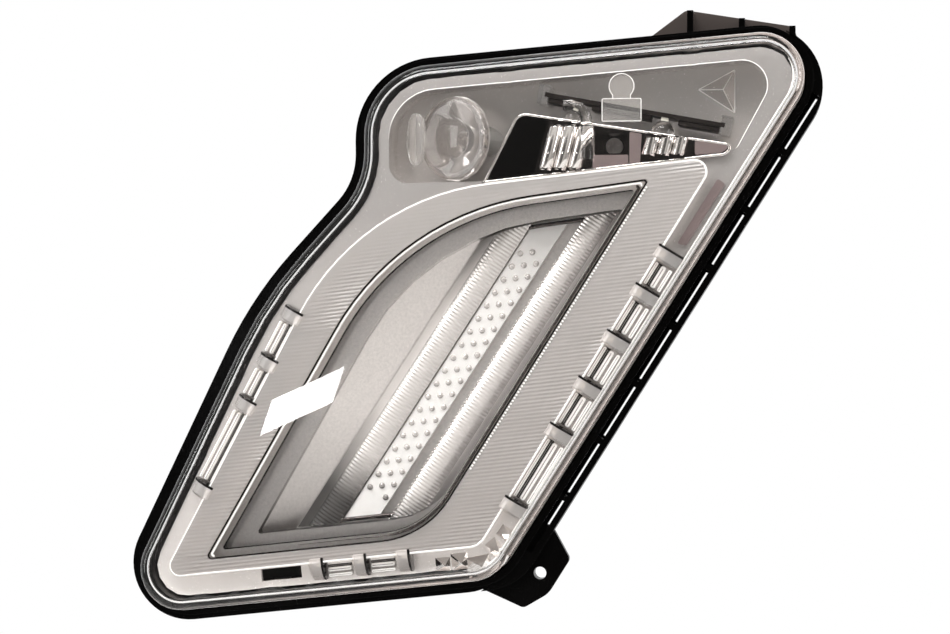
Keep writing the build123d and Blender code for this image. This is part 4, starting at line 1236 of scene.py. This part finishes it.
# Stage, lights and camera
def make_stage():
    """Plain pale floor."""
    bm = bmesh.new()
    bmesh.ops.create_circle(bm, cap_ends=True, segments=96, radius=FLOOR_R)
    mesh = bpy.data.meshes.new("floor")
    bm.to_mesh(mesh)
    bm.free()
    floor = bpy.data.objects.new("floor", mesh)
    floor.location = FLOOR_AT
    bpy.context.scene.collection.objects.link(floor)
    material, bsdf, tree = shader("floor_paint")
    bsdf.inputs["Base Color"].default_value = (0.86, 0.86, 0.86, 1)
    grain(tree, bsdf, FLOOR_GRAIN)
    tree.links.new(uneven(tree, 0.05, 0.62, 0.78), bsdf.inputs["Roughness"])
    mesh.materials.append(material)


def ramp(tree, source, way, stops):
    """Slightly warm grey steps by how far a unit vector reaches along a way."""
    steps = tree.nodes.new("ShaderNodeValToRGB")
    tree.links.new(share_along(tree, source, way, -1, 1), steps.inputs["Fac"])
    elements = steps.color_ramp.elements
    elements[0].position = (stops[0][0] + 1) / 2
    elements[1].position = (stops[-1][0] + 1) / 2
    for position, _ in stops[1:-1]:
        elements.new((position + 1) / 2)
    for element, (_, value) in zip(elements, stops):
        element.color = (*[value * tint for tint in STUDIO_TINT], 1)
    return steps.outputs["Color"]


def make_world():
    """Studio that is dark right in front of the lens and white behind the lamp."""
    world = bpy.data.worlds.new("studio")
    world.use_nodes = True
    bpy.context.scene.world = world
    tree = world.node_tree
    outward = tree.nodes.new("ShaderNodeTexCoord").outputs["Generated"]
    front = ramp(tree, outward, DARK_WAY, FRONT_STEPS)
    height = ramp(tree, outward, UP, HEIGHT_STEPS)
    around = mixed(tree, 1, front, height, "MULTIPLY")
    behind = ramp(tree, outward, BACK, BEHIND_STEPS)
    path = tree.nodes.new("ShaderNodeLightPath")
    mirrored = math_node(tree, "MULTIPLY", path.outputs["Is Glossy Ray"], behind)
    through = math_node(tree, "MULTIPLY", path.outputs["Is Transmission Ray"], behind)
    shown = math_node(tree, "MAXIMUM", mirrored, through)
    shown = math_node(tree, "MAXIMUM", path.outputs["Is Camera Ray"], shown)
    seen = mixed(tree, shown, around, (1, 1, 1, 1))
    tree.links.new(seen, tree.nodes["Background"].inputs["Color"])


def make_lamp(name, place, width, depth, watts):
    """A soft box aimed at the lamp unit."""
    data = bpy.data.lights.new(name, "AREA")
    data.shape = "RECTANGLE"
    data.size, data.size_y = width, depth
    data.energy = watts
    obj = bpy.data.objects.new(name, data)
    obj.location = place
    obj.rotation_euler = (LAMP_TARGET - Vector(place)).to_track_quat("-Z", "Y").to_euler()
    bpy.context.scene.collection.objects.link(obj)


def make_camera():
    """Camera at the photograph's angle."""
    azimuth = math.radians(CAMERA_AZIMUTH)
    away = Vector((math.sin(azimuth), -math.cos(azimuth), 0))
    data = bpy.data.cameras.new("camera")
    data.lens = CAMERA_LENS
    data.sensor_width = CAMERA_SENSOR
    camera = bpy.data.objects.new("camera", data)
    camera.location = CAMERA_TARGET + away * CAMERA_AWAY
    camera.rotation_euler = (-away).to_track_quat("-Z", "Y").to_euler()
    bpy.context.scene.collection.objects.link(camera)
    bpy.context.scene.camera = camera


make_lens()
make_frame()
make_bar("left_ribbed_bar", STRIP_W / 2 + BAR_GAP, 1, "left_bar")
make_bar("right_ribbed_bar", -STRIP_W / 2 - RIGHT_BAND, -1, "right_bar")
make_strip()
make_pocket_trim()
make_edge_lines()
make_visor_trim()
make_marker()
make_pipes()
make_corner()
make_stage()
make_world()
for lamp in LAMPS:
    make_lamp(*lamp)
make_camera()

bpy.context.scene.view_settings.view_transform = "Standard"
